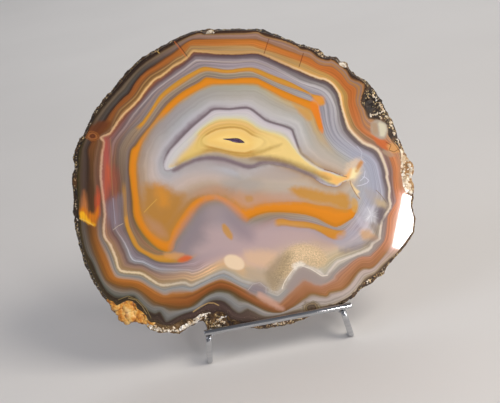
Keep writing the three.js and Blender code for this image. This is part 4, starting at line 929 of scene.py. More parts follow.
# How far they are moved inward, the crystals raised and the knobs lowered, in shares of their size
CRYSTAL_INWARD, KNOB_INWARD = 0.35, 0.5
CRYSTAL_RAISED, KNOB_LOWERED, LARGE_LOWERED = 0.15, 0.1, 0.15
# A crystal's foot, shoulder, height and tip in shares of its size, and its lean in radians
CRYSTAL_FOOT, CRYSTAL_SHOULDER, CRYSTAL_HEIGHT = 0.5, 0.44, 1.1
TIP_HEIGHT, TIP_VARIATION = 0.45, 0.3
CRYSTAL_LEAN, LEAN_VARIATION = 0.7, 2.2
# How flat the knobs and the large ones are, and their bumps: size and height in shares of the knob's size
GOLD_FLATNESS, LARGE_FLATNESS = 0.65, 0.5
BUMP_SIZE, BUMP_HEIGHT = 0.55, 0.16
FINE_BUMP_SIZE, FINE_BUMP_HEIGHT = 0.2, 0.05
# How wide the crystals of a row are spread (mm), and how far (mm) a draw above a limit sinks a crystal
ROW_SPREAD = 0.7
SINKING, SINKS_ABOVE = 0.8, 0.6


def angle_at(step):
    x, y = on_face(step)
    return math.atan2(y, x)


def rim_depth(x, y):
    """How deep the rough rim lies below the face at a place right of and above the middle."""
    turn = np.array([math.atan2(y, x) % (2 * math.pi)])
    inner, outer = polished_radius(turn)[0], widest_radius(turn)[0]
    out = (math.hypot(x, y) - inner) / (outer - inner)
    return np.interp(out, [ring[0] for ring in OUTWARD_RINGS], [ring[1] for ring in OUTWARD_RINGS])


def rim_spot(start, end, spread, rng):
    """A seeded place between two traced steps round the rough rim, right of and above the middle."""
    sweep = (angle_at(end) - angle_at(start) + math.pi) % (2 * math.pi) - math.pi
    out = 1 - spread * rng.random()
    turn = np.array([angle_at(start) + sweep * rng.random()]) % (2 * math.pi)
    inner, outer = polished_radius(turn)[0], widest_radius(turn)[0]
    radius = inner + (outer - inner) * out
    return radius * math.cos(turn[0]), radius * math.sin(turn[0])


def row_spots(text, count, rng):
    """Seeded places along a row of traced steps."""
    steps = trace(text)
    lengths = np.concatenate([[0], np.cumsum(np.linalg.norm(np.diff(steps, axis=0), axis=1))])
    for i in range(count):
        at = (i + rng.random()) / count * lengths[-1]
        yield tuple(np.interp(at, lengths, steps[:, axis]) + ROW_SPREAD * (rng.random() - 0.5)
                    for axis in range(2))


def add_shell(vertices, faces, crowns, shell, place):
    """Adds one small closed form, moved to its place and kept between the sawn sides. A point's crown is how
    high it is in its form, from 0 to 1."""
    lowest = -THICKNESS + CRYSTALS_BEFORE_BACK
    start = len(vertices)
    heights = [vertex.co.z for vertex in shell.verts]
    for vertex in shell.verts:
        x, y, z = np.array(vertex.co) + place
        vertices.append((x, y, min(max(z, lowest), -CRYSTALS_BELOW_FACE)))
        crowns.append((vertex.co.z - min(heights)) / (max(heights) - min(heights)))
    shell.verts.index_update()
    faces.extend(tuple(start + v.index for v in face.verts) for face in shell.faces)
    shell.free()


def crystal_shell(size, rng):
    """A six-sided quartz point."""
    shell = bmesh.new()
    bmesh.ops.create_cone(shell, cap_ends=True, segments=6, radius1=CRYSTAL_FOOT * size,
                          radius2=CRYSTAL_SHOULDER * size, depth=CRYSTAL_HEIGHT * size)
    top = max(shell.faces, key=lambda face: face.calc_center_median().z)
    point = bmesh.ops.poke(shell, faces=[top])["verts"][0]
    point.co.z += (TIP_HEIGHT + TIP_VARIATION * rng.random()) * size
    lean = Matrix.Rotation((rng.random() - 0.5) * LEAN_VARIATION + CRYSTAL_LEAN, 4, "X")
    spin = Matrix.Rotation(rng.random() * 2 * math.pi, 4, "Z")
    bmesh.ops.transform(shell, matrix=spin @ lean, verts=shell.verts)
    return shell


def knob_shell(size, seed, flatness):
    """A rounded knob with an uneven surface."""
    shell = bmesh.new()
    bmesh.ops.create_icosphere(shell, subdivisions=3, radius=size)
    for vertex in shell.verts:
        bump = noise.noise(vertex.co / (BUMP_SIZE * size) + Vector((seed, 0, 0)))
        fine = noise.noise(vertex.co / (FINE_BUMP_SIZE * size) + Vector((0, seed, 0)))
        vertex.co *= 1 + BUMP_HEIGHT * bump + FINE_BUMP_HEIGHT * fine
        vertex.co.z *= flatness
    return shell


def crystals_piece():
    rng = random.Random(CRYSTAL_SEED)
    spots = []
    for start, end, count, size, spread, white in CRYSTAL_PATCHES:
        spots += [(rim_spot(start, end, spread, rng), size, white) for _ in range(count)]
    for text, count, size, white in CRYSTAL_ROWS:
        spots += [(spot, size, white) for spot in row_spots(text, count, rng)]
    vertices, faces, crowns, whiteness = [], [], [], []
    for (x, y), typical, white in spots:
        size = typical * (SMALLEST_CRYSTAL + CRYSTAL_RANGE * rng.random() ** 2)
        inward = 1 - CRYSTAL_INWARD * size / math.hypot(x, y)
        depth = rim_depth(x, y) - CRYSTAL_RAISED * size + SINKING * max(rng.random() - SINKS_ABOVE, 0)
        add_shell(vertices, faces, crowns, crystal_shell(size, rng), (x * inward, y * inward, -depth))
        whiteness += [white] * (len(vertices) - len(whiteness))
    piece = new_piece("quartz_points", kept_in_box(in_place(vertices)), faces, "agate_slice")
    keep_values(piece, "whiteness", whiteness)
    keep_values(piece, "crown", crowns)
    return piece


def knobs_piece():
    rng = random.Random(GOLD_SEED)
    vertices, faces, crowns = [], [], []
    start, end, count, largest, spread = GOLD_PATCH
    for i in range(count):
        x, y = rim_spot(start, end, spread, rng)
        size = largest * (SMALLEST_KNOB + KNOB_RANGE * rng.random() ** 1.5)
        inward = 1 - KNOB_INWARD * size / math.hypot(x, y)
        place = (x * inward, y * inward, -rim_depth(x, y) - KNOB_LOWERED * size)
        add_shell(vertices, faces, crowns, knob_shell(size, i, GOLD_FLATNESS), place)
    for i, (step, size) in enumerate(GOLD_KNOBS):
        x, y = on_face(step)
        place = (x, y, -rim_depth(x, y) - LARGE_LOWERED * size)
        shell = knob_shell(size, FIRST_GOLD_KNOB + i, LARGE_FLATNESS)
        add_shell(vertices, faces, crowns, shell, place)
    piece = new_piece("gold_knobs", kept_in_box(in_place(vertices)), faces, "agate_slice")
    keep_values(piece, "crown", crowns)
    piece.data.shade_smooth()
    return piece


crystals = crystals_piece()
knobs = knobs_piece()


# The stand: flat plates with rounded edges and two round bars, polished. Lengths are in millimetres.
EDGE_ROUNDING = 0.7
LEG_ROUNDING = 1.2
BAR_END_ROUNDING = 0.5
ROUNDING_STEPS = 4
BAR_SIDES = 48
REST_TOP_STEPS = 6
# The angles from which an edge of a plate or a bar's end is rounded, and from which one is shaded sharp
PLATE_EDGE_ANGLE = math.radians(50)
BAR_END_ANGLE = math.radians(60)
SHARP_ANGLE = math.radians(32)


def plate(name, outline, x, rounding, side=0):
    """A plate of the stand from its side view, its edges rounded; side spreads a leg to its foot."""
    form = bmesh.new()
    verts = [form.verts.new((x - PLATE_THICKNESS / 2, y, z)) for y, z in outline]
    face = form.faces.new(verts)
    moved = bmesh.ops.extrude_face_region(form, geom=[face])["geom"]
    far_side = [part for part in moved if isinstance(part, bmesh.types.BMVert)]
    bmesh.ops.translate(form, vec=(PLATE_THICKNESS, 0, 0), verts=far_side)
    bmesh.ops.recalc_face_normals(form, faces=form.faces)
    sharp = [edge for edge in form.edges if edge.calc_face_angle(0) > PLATE_EDGE_ANGLE]
    bmesh.ops.bevel(form, geom=sharp, offset=rounding, segments=ROUNDING_STEPS, profile=0.5, affect="EDGES",
                    clamp_overlap=True)
    spread = FOOT_HALF_SPACING - LEG_TOP_HALF_SPACING
    for vertex in form.verts:
        vertex.co.x += side * spread * min(max(1 - vertex.co.z / BAR_Z, 0), 1)
    return stand_piece(name, form)


def stand_piece(name, form):
    """A piece of the stand from its form in millimetres, for the node that has its name."""
    form.verts.index_update()
    vertices = [(np.array(v.co) + SHIFT) * MM for v in form.verts]
    faces = [tuple(v.index for v in face.verts) for face in form.faces]
    form.free()
    piece = new_piece(name, kept_in_box(np.array(vertices)), faces, name.replace("metal_", ""))
    piece.data.shade_smooth()
    piece.data.set_sharp_from_angle(angle=SHARP_ANGLE)
    return piece


def round_bar(name, length, x, y, z):
    """A round bar along X with its ends rounded over."""
    form = bmesh.new()
    bmesh.ops.create_cone(form, cap_ends=True, segments=BAR_SIDES, radius1=BAR_RADIUS, radius2=BAR_RADIUS,
                          depth=length)
    ends = [edge for edge in form.edges if edge.calc_face_angle(0) > BAR_END_ANGLE]
    bmesh.ops.bevel(form, geom=ends, offset=BAR_END_ROUNDING, segments=ROUNDING_STEPS, profile=0.5,
                    affect="EDGES")
    along_x = Matrix.Translation((x, y, z)) @ Matrix.Rotation(math.pi / 2, 4, "Y")
    bmesh.ops.transform(form, matrix=along_x, verts=form.verts)
    return stand_piece(name, form)


behind_slice = -THICKNESS - REST_GAP
notch_y, notch_z = BAR_Y + BAR_RADIUS + PLATE_GAP, BAR_Z - BAR_RADIUS - PLATE_GAP
seat_y, seat_z = on_lean(-SEAT_BELOW_MIDDLE, 0)
front_leg = [(BAR_Y + behind, height) for behind, height in FRONT_LEG_BACK]
front_leg.append(on_lean(-SEAT_BELOW_MIDDLE - SEAT_DEPTH, behind_slice + PLATE_GAP / 2))
front_leg.append(on_lean(-SEAT_BELOW_MIDDLE, behind_slice + PLATE_GAP / 2))
front_leg.append((notch_y, seat_z - (notch_y - seat_y) * math.tan(LEAN)))
front_leg.append((notch_y, notch_z))
front_leg += [(BAR_Y + behind, height) for behind, height in reversed(FRONT_LEG_NOSE)]

rest_front = behind_slice - PLATE_GAP / 2
rest_middle = rest_front - BACK_REST_DEPTH / 2
rest_bottom = -SEAT_BELOW_MIDDLE - SEAT_DEPTH
back_rest = [on_lean(rest_bottom, rest_front), on_lean(rest_bottom, rest_front - BACK_REST_DEPTH)]
for i in range(REST_TOP_STEPS + 1):
    angle = i / REST_TOP_STEPS * math.pi
    back_rest.append(on_lean(BACK_REST_TOP + TOP_ROUNDING * math.sin(angle),
                             rest_middle - BACK_REST_DEPTH / 2 * math.cos(angle)))

joint_front = rest_front - BACK_REST_DEPTH - PLATE_GAP
leg_top, leg_bottom = on_lean(REAR_LEG_TOP, joint_front), on_lean(REAR_LEG_TOP - REAR_LEG_JOINT, joint_front)
rear_leg = [leg_bottom, (REAR_FOOT_FRONT, 0), (REAR_FOOT_FRONT + REAR_FOOT_DEPTH, 0), leg_top]

metal_pieces = [round_bar("metal_front_bar", FRONT_BAR_LENGTH, BAR_X, BAR_Y, BAR_Z)]
for side, word in ((-1, "left"), (1, "right")):
    x = STAND_MIDDLE_X + side * LEG_TOP_HALF_SPACING
    metal_pieces.append(plate("metal_front_leg_" + word, front_leg, x, LEG_ROUNDING, side))
    metal_pieces.append(plate("metal_back_rest_" + word, back_rest, x, EDGE_ROUNDING))
    metal_pieces.append(plate("metal_rear_leg_" + word, rear_leg, x, EDGE_ROUNDING))
rear_middle = [(leg_top[i] + leg_bottom[i]) / 2 for i in range(2)]
foot_middle = REAR_FOOT_FRONT + REAR_FOOT_DEPTH / 2
metal_pieces.append(round_bar(
    "metal_rear_bar",
    2 * LEG_TOP_HALF_SPACING - PLATE_THICKNESS - 2 * PLATE_GAP,
    STAND_MIDDLE_X,
    rear_middle[0] + (foot_middle - rear_middle[0]) * REAR_BAR_PLACE,
    rear_middle[1] * (1 - REAR_BAR_PLACE),
))


# How many waves, blotches or grains the patterns in the stone have per millimetre
WAVES_PER_MM = 1 / 5
BLOTCHES_PER_MM = 1 / 2.5
RIPPLES_PER_MM = 0.7
STREAKS_PER_MM = (0.9, 0.1, 1.0)
GRIT_PER_MM = 1.2
SPECKS_PER_MM = 1.1
RIND_PATCHES_PER_MM = 1 / 2
RIND_GRAINS_PER_MM = 3.0
CRUST_BEADS_PER_MM = 0.95
# The same per metre, on the crystals, the knobs, the metal and the floor
QUARTZ_SPOTS_PER_M = 260.0
GOLD_PATCHES_PER_M = 90.0
KNOB_GRAINS_PER_M = 1400.0
WIPE_MARKS_PER_M = (90, 900, 900)
PAPER_FIBRES_PER_M = 30.0
# Lines and veins in the face, in millimetres: half a line's width, how far the line round the eye lies
# inside its traced one, and how softly a vein's sides and ends fade
LINE_HALF_WIDTH = 0.5
EYE_LINE_SHIFT = 0.2
VEIN_EDGE, VEIN_END = 0.25, 0.3
# How far the bands wander from the drawn lines, in levels, and how deep the coloured crusts lie in the rind
BAND_DRIFT = 0.08
CRUST_DEPTH = 2.0
# The bands' levels at the lavender line, at the line round the eye and in the middle of the lens
LAVENDER_LEVEL, EYE_LEVEL, DEEPEST_LEVEL = 5, 10, 13
# Growth layers: how many per band level, and how strongly they show
GROWTH_LAYERS = [(3.7, 1.7), (8.3, 2.2), (17.0, 1.1)]
# How strongly quartz bends light, and how high the finest bumps of the rough skins are (m)
QUARTZ_IOR = 1.54
SKIN_BUMP = 0.0003


def material(name):
    made = bpy.data.materials.new(name)
    made.use_nodes = True
    tree = made.node_tree
    tree.nodes.clear()
    return made, tree


def node(tree, kind, inputs=None, output=0, **settings):
    """Adds a shader node with its settings and its inputs, numbers or links, and gives one of its outputs."""
    added = tree.nodes.new("ShaderNode" + kind)
    for key, value in settings.items():
        setattr(added, key, value)
    for key, value in (inputs or {}).items():
        if isinstance(value, bpy.types.NodeSocket):
            tree.links.new(value, added.inputs[key])
        else:
            added.inputs[key].default_value = value
    return added.outputs[output] if added.outputs else added


def band_ramp(tree, level, text, low, high):
    """Colours along the band levels from low to high, written as level:colour."""
    where = node(tree, "MapRange", {0: level, 1: low, 2: high})
    ramp = node(tree, "ValToRGB", {0: where})
    stops = [stop.split(":") for stop in text.split()]
    elements = ramp.node.color_ramp.elements
    while len(elements) < len(stops):
        elements.new(1.0)
    for element, (place, code) in zip(elements, stops):
        element.position = (float(place) - low) / (high - low)
        element.color = colour(code)
    return ramp


def by_direction(tree, colours):
    """The colours of the eight directions, each counted by its own share at the place."""
    total = colour("000000")
    for i, tone in enumerate(colours):
        if i % 4 == 0:
            shares = node(tree, "Attribute", output="Color", attribute_name="directions_%d" % (i // 4))
            split = node(tree, "SeparateColor", {0: shares})
            share = [*split.node.outputs[:3], shares.node.outputs["Alpha"]]
        total = node(tree, "Mix", {0: share[i % 4], 6: total, 7: tone}, 2, data_type="RGBA", blend_type="ADD")
    return total


def away_from(tree, place, middle, depth=0.0):
    """The way to a place from a traced step of the face, or from a depth (mm) below that step."""
    right, up = on_face(middle)
    return node(tree, "VectorMath", {0: place, 1: (right, up, -depth)}, operation="SUBTRACT")


def line_mask(tree, distance, half_width, edge):
    """1 on a line, from the distance to it in mm, fading over its soft edge."""
    away = node(tree, "Math", {0: distance}, operation="ABSOLUTE")
    return node(tree, "MapRange", {0: away, 1: half_width + edge, 2: max(half_width - edge, 0)},
                interpolation_type="SMOOTHSTEP")


def vein_mask(tree, place, start, end, half_width):
    """1 on a straight thin vein between two places of the face."""
    half_length = float(np.linalg.norm(end - start)) / 2
    right, up = (end - start) / (2 * half_length)
    from_middle = node(tree, "VectorMath", {0: place, 1: (*(start + end) / 2, 0)}, operation="SUBTRACT")
    along = node(tree, "VectorMath", {0: from_middle, 1: (right, up, 0)}, 1, operation="DOT_PRODUCT")
    beside = node(tree, "VectorMath", {0: from_middle, 1: (-up, right, 0)}, 1, operation="DOT_PRODUCT")
    on_line = line_mask(tree, beside, half_width, VEIN_EDGE)
    along = node(tree, "Math", {0: along}, operation="ABSOLUTE")
    within = node(tree, "MapRange", {0: along, 1: half_length + VEIN_END, 2: half_length - VEIN_END})
    return node(tree, "Math", {0: on_line, 1: within}, operation="MULTIPLY")


def banded_colours(tree, level, band):
    """The bands' colours, from the rind to the light lens in the eye, with the painted shade and painted glow
    that the outer bands' colours hold by direction.
    """
    outer = by_direction(
        tree, (band_ramp(tree, level, OUTER_COLOURS[name], 0, LAVENDER_LEVEL) for name in DIRECTIONS))
    inner = by_direction(
        tree, (band_ramp(tree, level, INNER_COLOURS[name], LAVENDER_LEVEL, EYE_LEVEL) for name in DIRECTIONS))
    eye = band_ramp(tree, level, EYE_COLOURS, EYE_LEVEL, DEEPEST_LEVEL)
    past_lavender = node(tree, "Math", {0: level, 1: LAVENDER_LEVEL}, operation="GREATER_THAN")
    past_eye_line = node(tree, "Math", {0: band, 1: EYE_LEVEL}, operation="GREATER_THAN")
    base = node(tree, "Mix", {0: past_lavender, 6: outer, 7: inner}, 2, data_type="RGBA")
    return node(tree, "Mix", {0: past_eye_line, 6: base, 7: eye}, 2, data_type="RGBA")


def growth_layers(tree, base, level, place):
    """Growth layers a third of a millimetre to a millimetre thick, lighter and darker by turns."""
    strength = band_ramp(tree, level, LAYER_STRENGTH, 0, DEEPEST_LEVEL)
    cloudy = node(tree, "Attribute", output="Fac", attribute_name="cloudy")
    clear = node(tree, "Math", {0: 1.0, 1: cloudy}, operation="SUBTRACT")
    strength = node(tree, "Math", {0: strength, 1: clear}, operation="MULTIPLY")
    slow = node(tree, "VectorMath", {0: place, "Scale": 0.03}, operation="SCALE")
    for per_level, depth in GROWTH_LAYERS:
        growth = node(tree, "Math", {0: level, 1: per_level}, operation="MULTIPLY")
        layers = node(tree, "TexNoise", {"Vector": slow, "W": growth, "Scale": 1.0, "Detail": 2.0},
                      noise_dimensions="4D")
        swing = node(tree, "MapRange", {0: layers, 3: -depth / 2, 4: depth / 2})
        value = node(tree, "Math", {0: swing, 1: strength, 2: 1.0}, operation="MULTIPLY_ADD")
        base = node(tree, "HueSaturation", {"Color": base, "Value": value})
    return base


def iron_rings(tree, base, band, drift):
    """Iron oxide in rings A and B, which wanders less than the bands do."""
    level = node(tree, "Math", {0: drift, 1: 0.4, 2: band}, operation="MULTIPLY_ADD")
    iron = band_ramp(tree, level, IRON_COLOURS, LAVENDER_LEVEL, EYE_LEVEL)
    share = node(tree, "Attribute", output="Fac", attribute_name="iron")
    cover = node(tree, "Math", {0: iron.node.outputs["Alpha"], 1: share}, operation="MULTIPLY")
    return node(tree, "Mix", {0: cover, 6: base, 7: iron}, 2, data_type="RGBA")


def eye_and_cream_lines(tree, base, place, blotch):
    """The dark purple line round the eye, and the rippled cream line in each direction's own colour."""
    from_eye = node(tree, "Attribute", output="Fac", attribute_name="from_eye_line")
    from_eye = node(tree, "Math", {0: from_eye, 1: EYE_LINE_SHIFT}, operation="SUBTRACT")
    strength = node(tree, "Attribute", output="Fac", attribute_name="eye_line_strength")
    on_line = line_mask(tree, from_eye, LINE_HALF_WIDTH, LINE_HALF_WIDTH)
    cover = node(tree, "Math", {0: on_line, 1: strength}, operation="MULTIPLY")
    base = node(tree, "Mix", {0: cover, 6: base, 7: colour("74666c")}, 2, data_type="RGBA")
    ripple = node(tree, "TexNoise", {"Vector": place, "Scale": RIPPLES_PER_MM, "Detail": 3.0})
    ripple = node(tree, "Math", {0: ripple, 1: 0.5}, operation="SUBTRACT")
    from_cream = node(tree, "Attribute", output="Fac", attribute_name="from_cream_line")
    from_cream = node(tree, "Math", {0: from_cream, 1: ripple}, operation="ADD")
    narrowing = node(tree, "Math", {0: blotch, 1: 0.6}, operation="ADD")
    from_cream = node(tree, "Math", {0: from_cream, 1: narrowing}, operation="MULTIPLY")
    on_line = line_mask(tree, from_cream, LINE_HALF_WIDTH, LINE_HALF_WIDTH)
    cover = node(tree, "Math", {0: on_line, 1: 0.8}, operation="MULTIPLY")
    cream = by_direction(tree, (colour(CREAM_COLOURS[name]) for name in DIRECTIONS))
    return node(tree, "Mix", {0: cover, 6: base, 7: cream}, 2, data_type="RGBA")


def stained(tree, base, place, blotch):
    """The local stains and patches, with ragged edges, and the streaky ones broken up along the bands."""
    stretched = node(tree, "VectorMath", {0: place, 1: STREAKS_PER_MM}, operation="MULTIPLY")
    streaks = node(tree, "TexNoise", {"Vector": stretched, "Scale": 1.0, "Detail": 2.0})
    streaky = node(tree, "Math", {0: streaks, 1: 0.45}, operation="ADD")
    for name, _, softness, ragged, code, strength in STAINS:
        wander = streaks if "streak" in name else blotch
        inside = node(tree, "Attribute", output="Fac", attribute_name="stain_" + name)
        edge = node(tree, "Math", {0: wander, 1: ragged, 2: inside}, operation="MULTIPLY_ADD")
        cover = node(tree, "MapRange",
                     {0: edge, 1: (ragged - softness) / 2, 2: (ragged + softness) / 2, 4: strength},
                     interpolation_type="SMOOTHSTEP")
        if "streak" in name:
            cover = node(tree, "Math", {0: cover, 1: streaky}, operation="MULTIPLY", use_clamp=True)
        base = node(tree, "Mix", {0: cover, 6: base, 7: colour(code)}, 2, data_type="RGBA")
    return base


def quartz_needles(tree, base, place):
    """White quartz needles that spread from one point, a few tenths of a millimetre wide."""
    away = away_from(tree, place, NEEDLE_STAR)
    far = node(tree, "VectorMath", {0: away}, 1, operation="LENGTH")
    heading = node(tree, "VectorMath", {0: away}, operation="NORMALIZE")
    needles = node(tree, "TexNoise", {"Vector": heading, "Scale": 4.0, "Detail": 3.0, "Roughness": 0.7})
    needle = node(tree, "MapRange", {0: needles, 1: 0.52, 2: 0.62, 4: 0.8})
    fading = node(tree, "MapRange", {0: far, 1: NEEDLE_REACH, 2: 0.3 * NEEDLE_REACH})
    cover = node(tree, "Math", {0: needle, 1: fading}, operation="MULTIPLY")
    return node(tree, "Mix", {0: cover, 6: base, 7: colour("f0f0f4")}, 2, data_type="RGBA")


def druse_grains(tree, base, place):
    """The druse's sandy grains, drawn about a millimetre across so that they show."""
    grit = node(tree, "TexNoise", {"Vector": place, "Scale": GRIT_PER_MM, "Detail": 3.0, "Roughness": 0.8})
    grit = node(tree, "Math", {0: grit, 1: 0.5}, operation="SUBTRACT")
    inside = node(tree, "Attribute", output="Fac", attribute_name="stain_sandy_druse")
    strength = node(tree, "MapRange", {0: inside, 1: -3.0, 2: 3.0, 4: 1.9})
    value = node(tree, "Math", {0: grit, 1: strength, 2: 1.0}, operation="MULTIPLY_ADD")
    return node(tree, "HueSaturation", {"Color": base, "Value": value})


def veined(tree, base, place):
    """The cracks and thin veins."""
    for text, half_width, code in VEINS:
        steps = trace(text)
        cover = 0.0
        for start, end in zip(steps, steps[1:]):
            on_vein = vein_mask(tree, place, start, end, half_width)
            cover = node(tree, "Math", {0: on_vein, 1: cover}, operation="MAXIMUM")
        cover = node(tree, "Math", {0: cover, 1: 0.85}, operation="MULTIPLY")
        base = node(tree, "Mix", {0: cover, 6: base, 7: colour(code)}, 2, data_type="RGBA")
    return base


def round_eyes(tree, base, place, blotch):
    """Small uneven ringed eyes in the bands."""
    for middle, reach, rings_text in ROUND_EYES:
        away = away_from(tree, place, middle)
        flat = node(tree, "VectorMath", {0: away, 1: (0.85, 1.15, 0)}, operation="MULTIPLY")
        far = node(tree, "VectorMath", {0: flat}, 1, operation="LENGTH")
        uneven = node(tree, "Math", {0: blotch, 1: 0.9, 2: 0.55}, operation="MULTIPLY_ADD")
        far = node(tree, "Math", {0: far, 1: uneven}, operation="MULTIPLY")
        far = node(tree, "Math", {0: far, 1: reach}, operation="DIVIDE")
        spot = band_ramp(tree, far, rings_text, 0, 1)
        base = node(tree, "Mix", {0: spot.node.outputs["Alpha"], 6: base, 7: spot}, 2, data_type="RGBA")
    return base


def rind_specks(tree, base, place, band):
    """Pale grains in the black-brown rind that the polish shows."""
    specks = node(tree, "TexVoronoi", {"Vector": place, "Scale": SPECKS_PER_MM, "Randomness": 1.0})
    speck = node(tree, "MapRange", {0: specks, 1: 0.16, 2: 0.08, 4: 0.7})
    in_rind = node(tree, "MapRange", {0: band, 1: 0.9, 2: 0.6})
    cover = node(tree, "Math", {0: speck, 1: in_rind}, operation="MULTIPLY")
    return node(tree, "Mix", {0: cover, 6: base, 7: colour("b89c74")}, 2, data_type="RGBA")


def polished_agate():
    """Sawn and polished chalcedony: glassy, hard-edged reflections over bands that lie under the surface."""
    made, tree = material("polished_banded_agate")
    place = node(tree, "Attribute", output="Vector", attribute_name="face_place")
    band = node(tree, "Attribute", output="Fac", attribute_name="band")
    # The bands wander a little from the drawn lines, at the scale of a real agate's own waviness
    waves = node(tree, "TexNoise", {"Vector": place, "Scale": WAVES_PER_MM, "Detail": 4.0, "Roughness": 0.6})
    drift = node(tree, "MapRange", {0: waves, 3: -BAND_DRIFT, 4: BAND_DRIFT})
    level = node(tree, "Math", {0: band, 1: drift}, operation="ADD")
    base = banded_colours(tree, level, band)
    base = growth_layers(tree, base, level, place)
    base = iron_rings(tree, base, band, drift)
    blotch = node(tree, "TexNoise", {"Vector": place, "Scale": BLOTCHES_PER_MM, "Detail": 3.0})
    base = eye_and_cream_lines(tree, base, place, blotch)
    base = stained(tree, base, place, blotch)
    base = quartz_needles(tree, base, place)
    base = druse_grains(tree, base, place)
    base = veined(tree, base, place)
    base = round_eyes(tree, base, place, blotch)
    base = rind_specks(tree, base, place, band)
    smear = node(tree, "TexNoise", {"Vector": place, "Scale": RIPPLES_PER_MM, "Detail": 4.0})
    rough = node(tree, "MapRange", {0: smear, 1: 0.3, 2: 0.75, 3: 0.02, 4: 0.045})
    shader = node(tree, "BsdfPrincipled", {"Base Color": base, "Roughness": rough, "IOR": QUARTZ_IOR})
    node(tree, "OutputMaterial", {0: shader})
    return made


def rough_rind():
    """Weathered agate skin as it came from the lava: dull black-brown grains with pale sparkling crusts."""
    made, tree = material("weathered_agate_rind")
    place = node(tree, "Attribute", output="Vector", attribute_name="face_place")
    patchy = node(tree, "TexNoise",
                  {"Vector": place, "Scale": RIND_PATCHES_PER_MM, "Detail": 6.0, "Roughness": 0.7})
    base = band_ramp(tree, patchy, "0:140e0a .36:2c2016 .46:503c28 .56:846a46 .7:b49a70 1:e4d0a8", 0, 1)
    # The coloured crusts; the pale one at the right edge is partly painted highlight.
    for middle, reach, code in CRUSTS:
        away = away_from(tree, place, middle, CRUST_DEPTH)
        far = node(tree, "VectorMath", {0: away}, 1, operation="LENGTH")
        cover = node(tree, "MapRange", {0: far, 1: reach, 2: 0.6 * reach, 4: 0.75})
        base = node(tree, "Mix", {0: cover, 6: base, 7: colour(code)}, 2, data_type="RGBA")
    # How light the rind is by direction, partly painted highlight on the right.
    tint = by_direction(tree, (colour(RIND_TINTS[name]) for name in DIRECTIONS))
    base = node(tree, "Mix", {0: 1.0, 6: base, 7: tint}, 2, data_type="RGBA", blend_type="MULTIPLY")
    # Beads of pale crust, about a millimetre across, mostly along the slice's outer edge
    crust = node(tree, "TexVoronoi", {"Vector": place, "Scale": CRUST_BEADS_PER_MM, "Randomness": 1.0})
    beads = node(tree, "MapRange", {0: crust, 1: 0.42, 2: 0.28})
    where = node(tree, "TexNoise", {"Vector": place, "Scale": 0.3, "Detail": 3.0})
    depth = node(tree, "SeparateXYZ", {0: place}, 2)
    edge = node(tree, "MapRange", {0: depth, 1: -1.2, 2: -3.0, 4: 0.16})
    where = node(tree, "Math", {0: where, 1: edge}, operation="ADD")
    where = node(tree, "MapRange", {0: where, 1: 0.54, 2: 0.62})
    cover = node(tree, "Math", {0: beads, 1: where}, operation="MULTIPLY")
    base = node(tree, "Mix", {0: cover, 6: base, 7: colour("d8be88")}, 2, data_type="RGBA")
    fine = node(tree, "TexNoise",
                {"Vector": place, "Scale": RIND_GRAINS_PER_MM, "Detail": 4.0, "Roughness": 0.7})
    bump = node(tree, "Bump", {"Strength": 0.6, "Distance": SKIN_BUMP, "Height": fine})
    rough = node(tree, "MapRange", {0: fine, 1: 0.3, 2: 0.7, 3: 0.3, 4: 0.7})
    shader = node(tree, "BsdfPrincipled",
                  {"Base Color": base, "Roughness": rough, "IOR": QUARTZ_IOR, "Normal": bump})
    node(tree, "OutputMaterial", {0: shader})
    return made


def slit_walls_painted_shade():
    """The slit's walls: quartz skin, brown near the face and dark purple deeper in, both painted shade for
    the shade that shows through the slit.
    """
    made, tree = material("painted_shade_slit_walls")
    place = node(tree, "Attribute", output="Vector", attribute_name="face_place")
    spots = node(tree, "TexNoise", {"Vector": place, "Scale": 0.9, "Detail": 3.0})
    deep = band_ramp(tree, spots, "0:4c3854 .5:7c6488 .7:a08cac 1:c8b8c8", 0, 1)
    depth = node(tree, "SeparateXYZ", {0: place}, 2)
    inside = node(tree, "MapRange", {0: depth, 1: -0.3, 2: -0.9})
    base = node(tree, "Mix", {0: inside, 6: colour("4c2410"), 7: deep}, 2, data_type="RGBA")
    shader = node(tree, "BsdfPrincipled", {"Base Color": base, "Roughness": 0.4, "IOR": QUARTZ_IOR})
    node(tree, "OutputMaterial", {0: shader})
    return made


def quartz_crust():
    """Small quartz crystals, milky white or stained honey by iron, with bright flat faces, and painted shade
    darkening their feet.
    """
    made, tree = material("iron_stained_quartz")
    place = node(tree, "TexCoord", output="Object")
    spots = node(tree, "TexNoise", {"Vector": place, "Scale": QUARTZ_SPOTS_PER_M, "Detail": 3.0})
    honey = band_ramp(tree, spots, "0:6c4a26 .3:b08448 .42:e4b878 .54:f6dcb0 .68:fff4e0 1:ffffff", 0, 1)
    white = band_ramp(tree, spots, "0:70604c .3:a89880 .42:dcd0bc .54:f2eadc .68:ffffff 1:ffffff", 0, 1)
    whiteness = node(tree, "Attribute", output="Fac", attribute_name="whiteness")
    base = node(tree, "Mix", {0: whiteness, 6: honey, 7: white}, 2, data_type="RGBA")
    # Painted shade: each crystal darkens towards the foot of its own form.
    crown = node(tree, "Attribute", output="Fac", attribute_name="crown")
    foot = node(tree, "MapRange", {0: crown, 1: 0.65, 2: 0.3, 4: 0.85})
    base = node(tree, "Mix", {0: foot, 6: base, 7: colour("3c2a1c")}, 2, data_type="RGBA")
    shader = node(tree, "BsdfPrincipled", {"Base Color": base, "Roughness": 0.18, "IOR": QUARTZ_IOR})
    node(tree, "OutputMaterial", {0: shader})
    return made


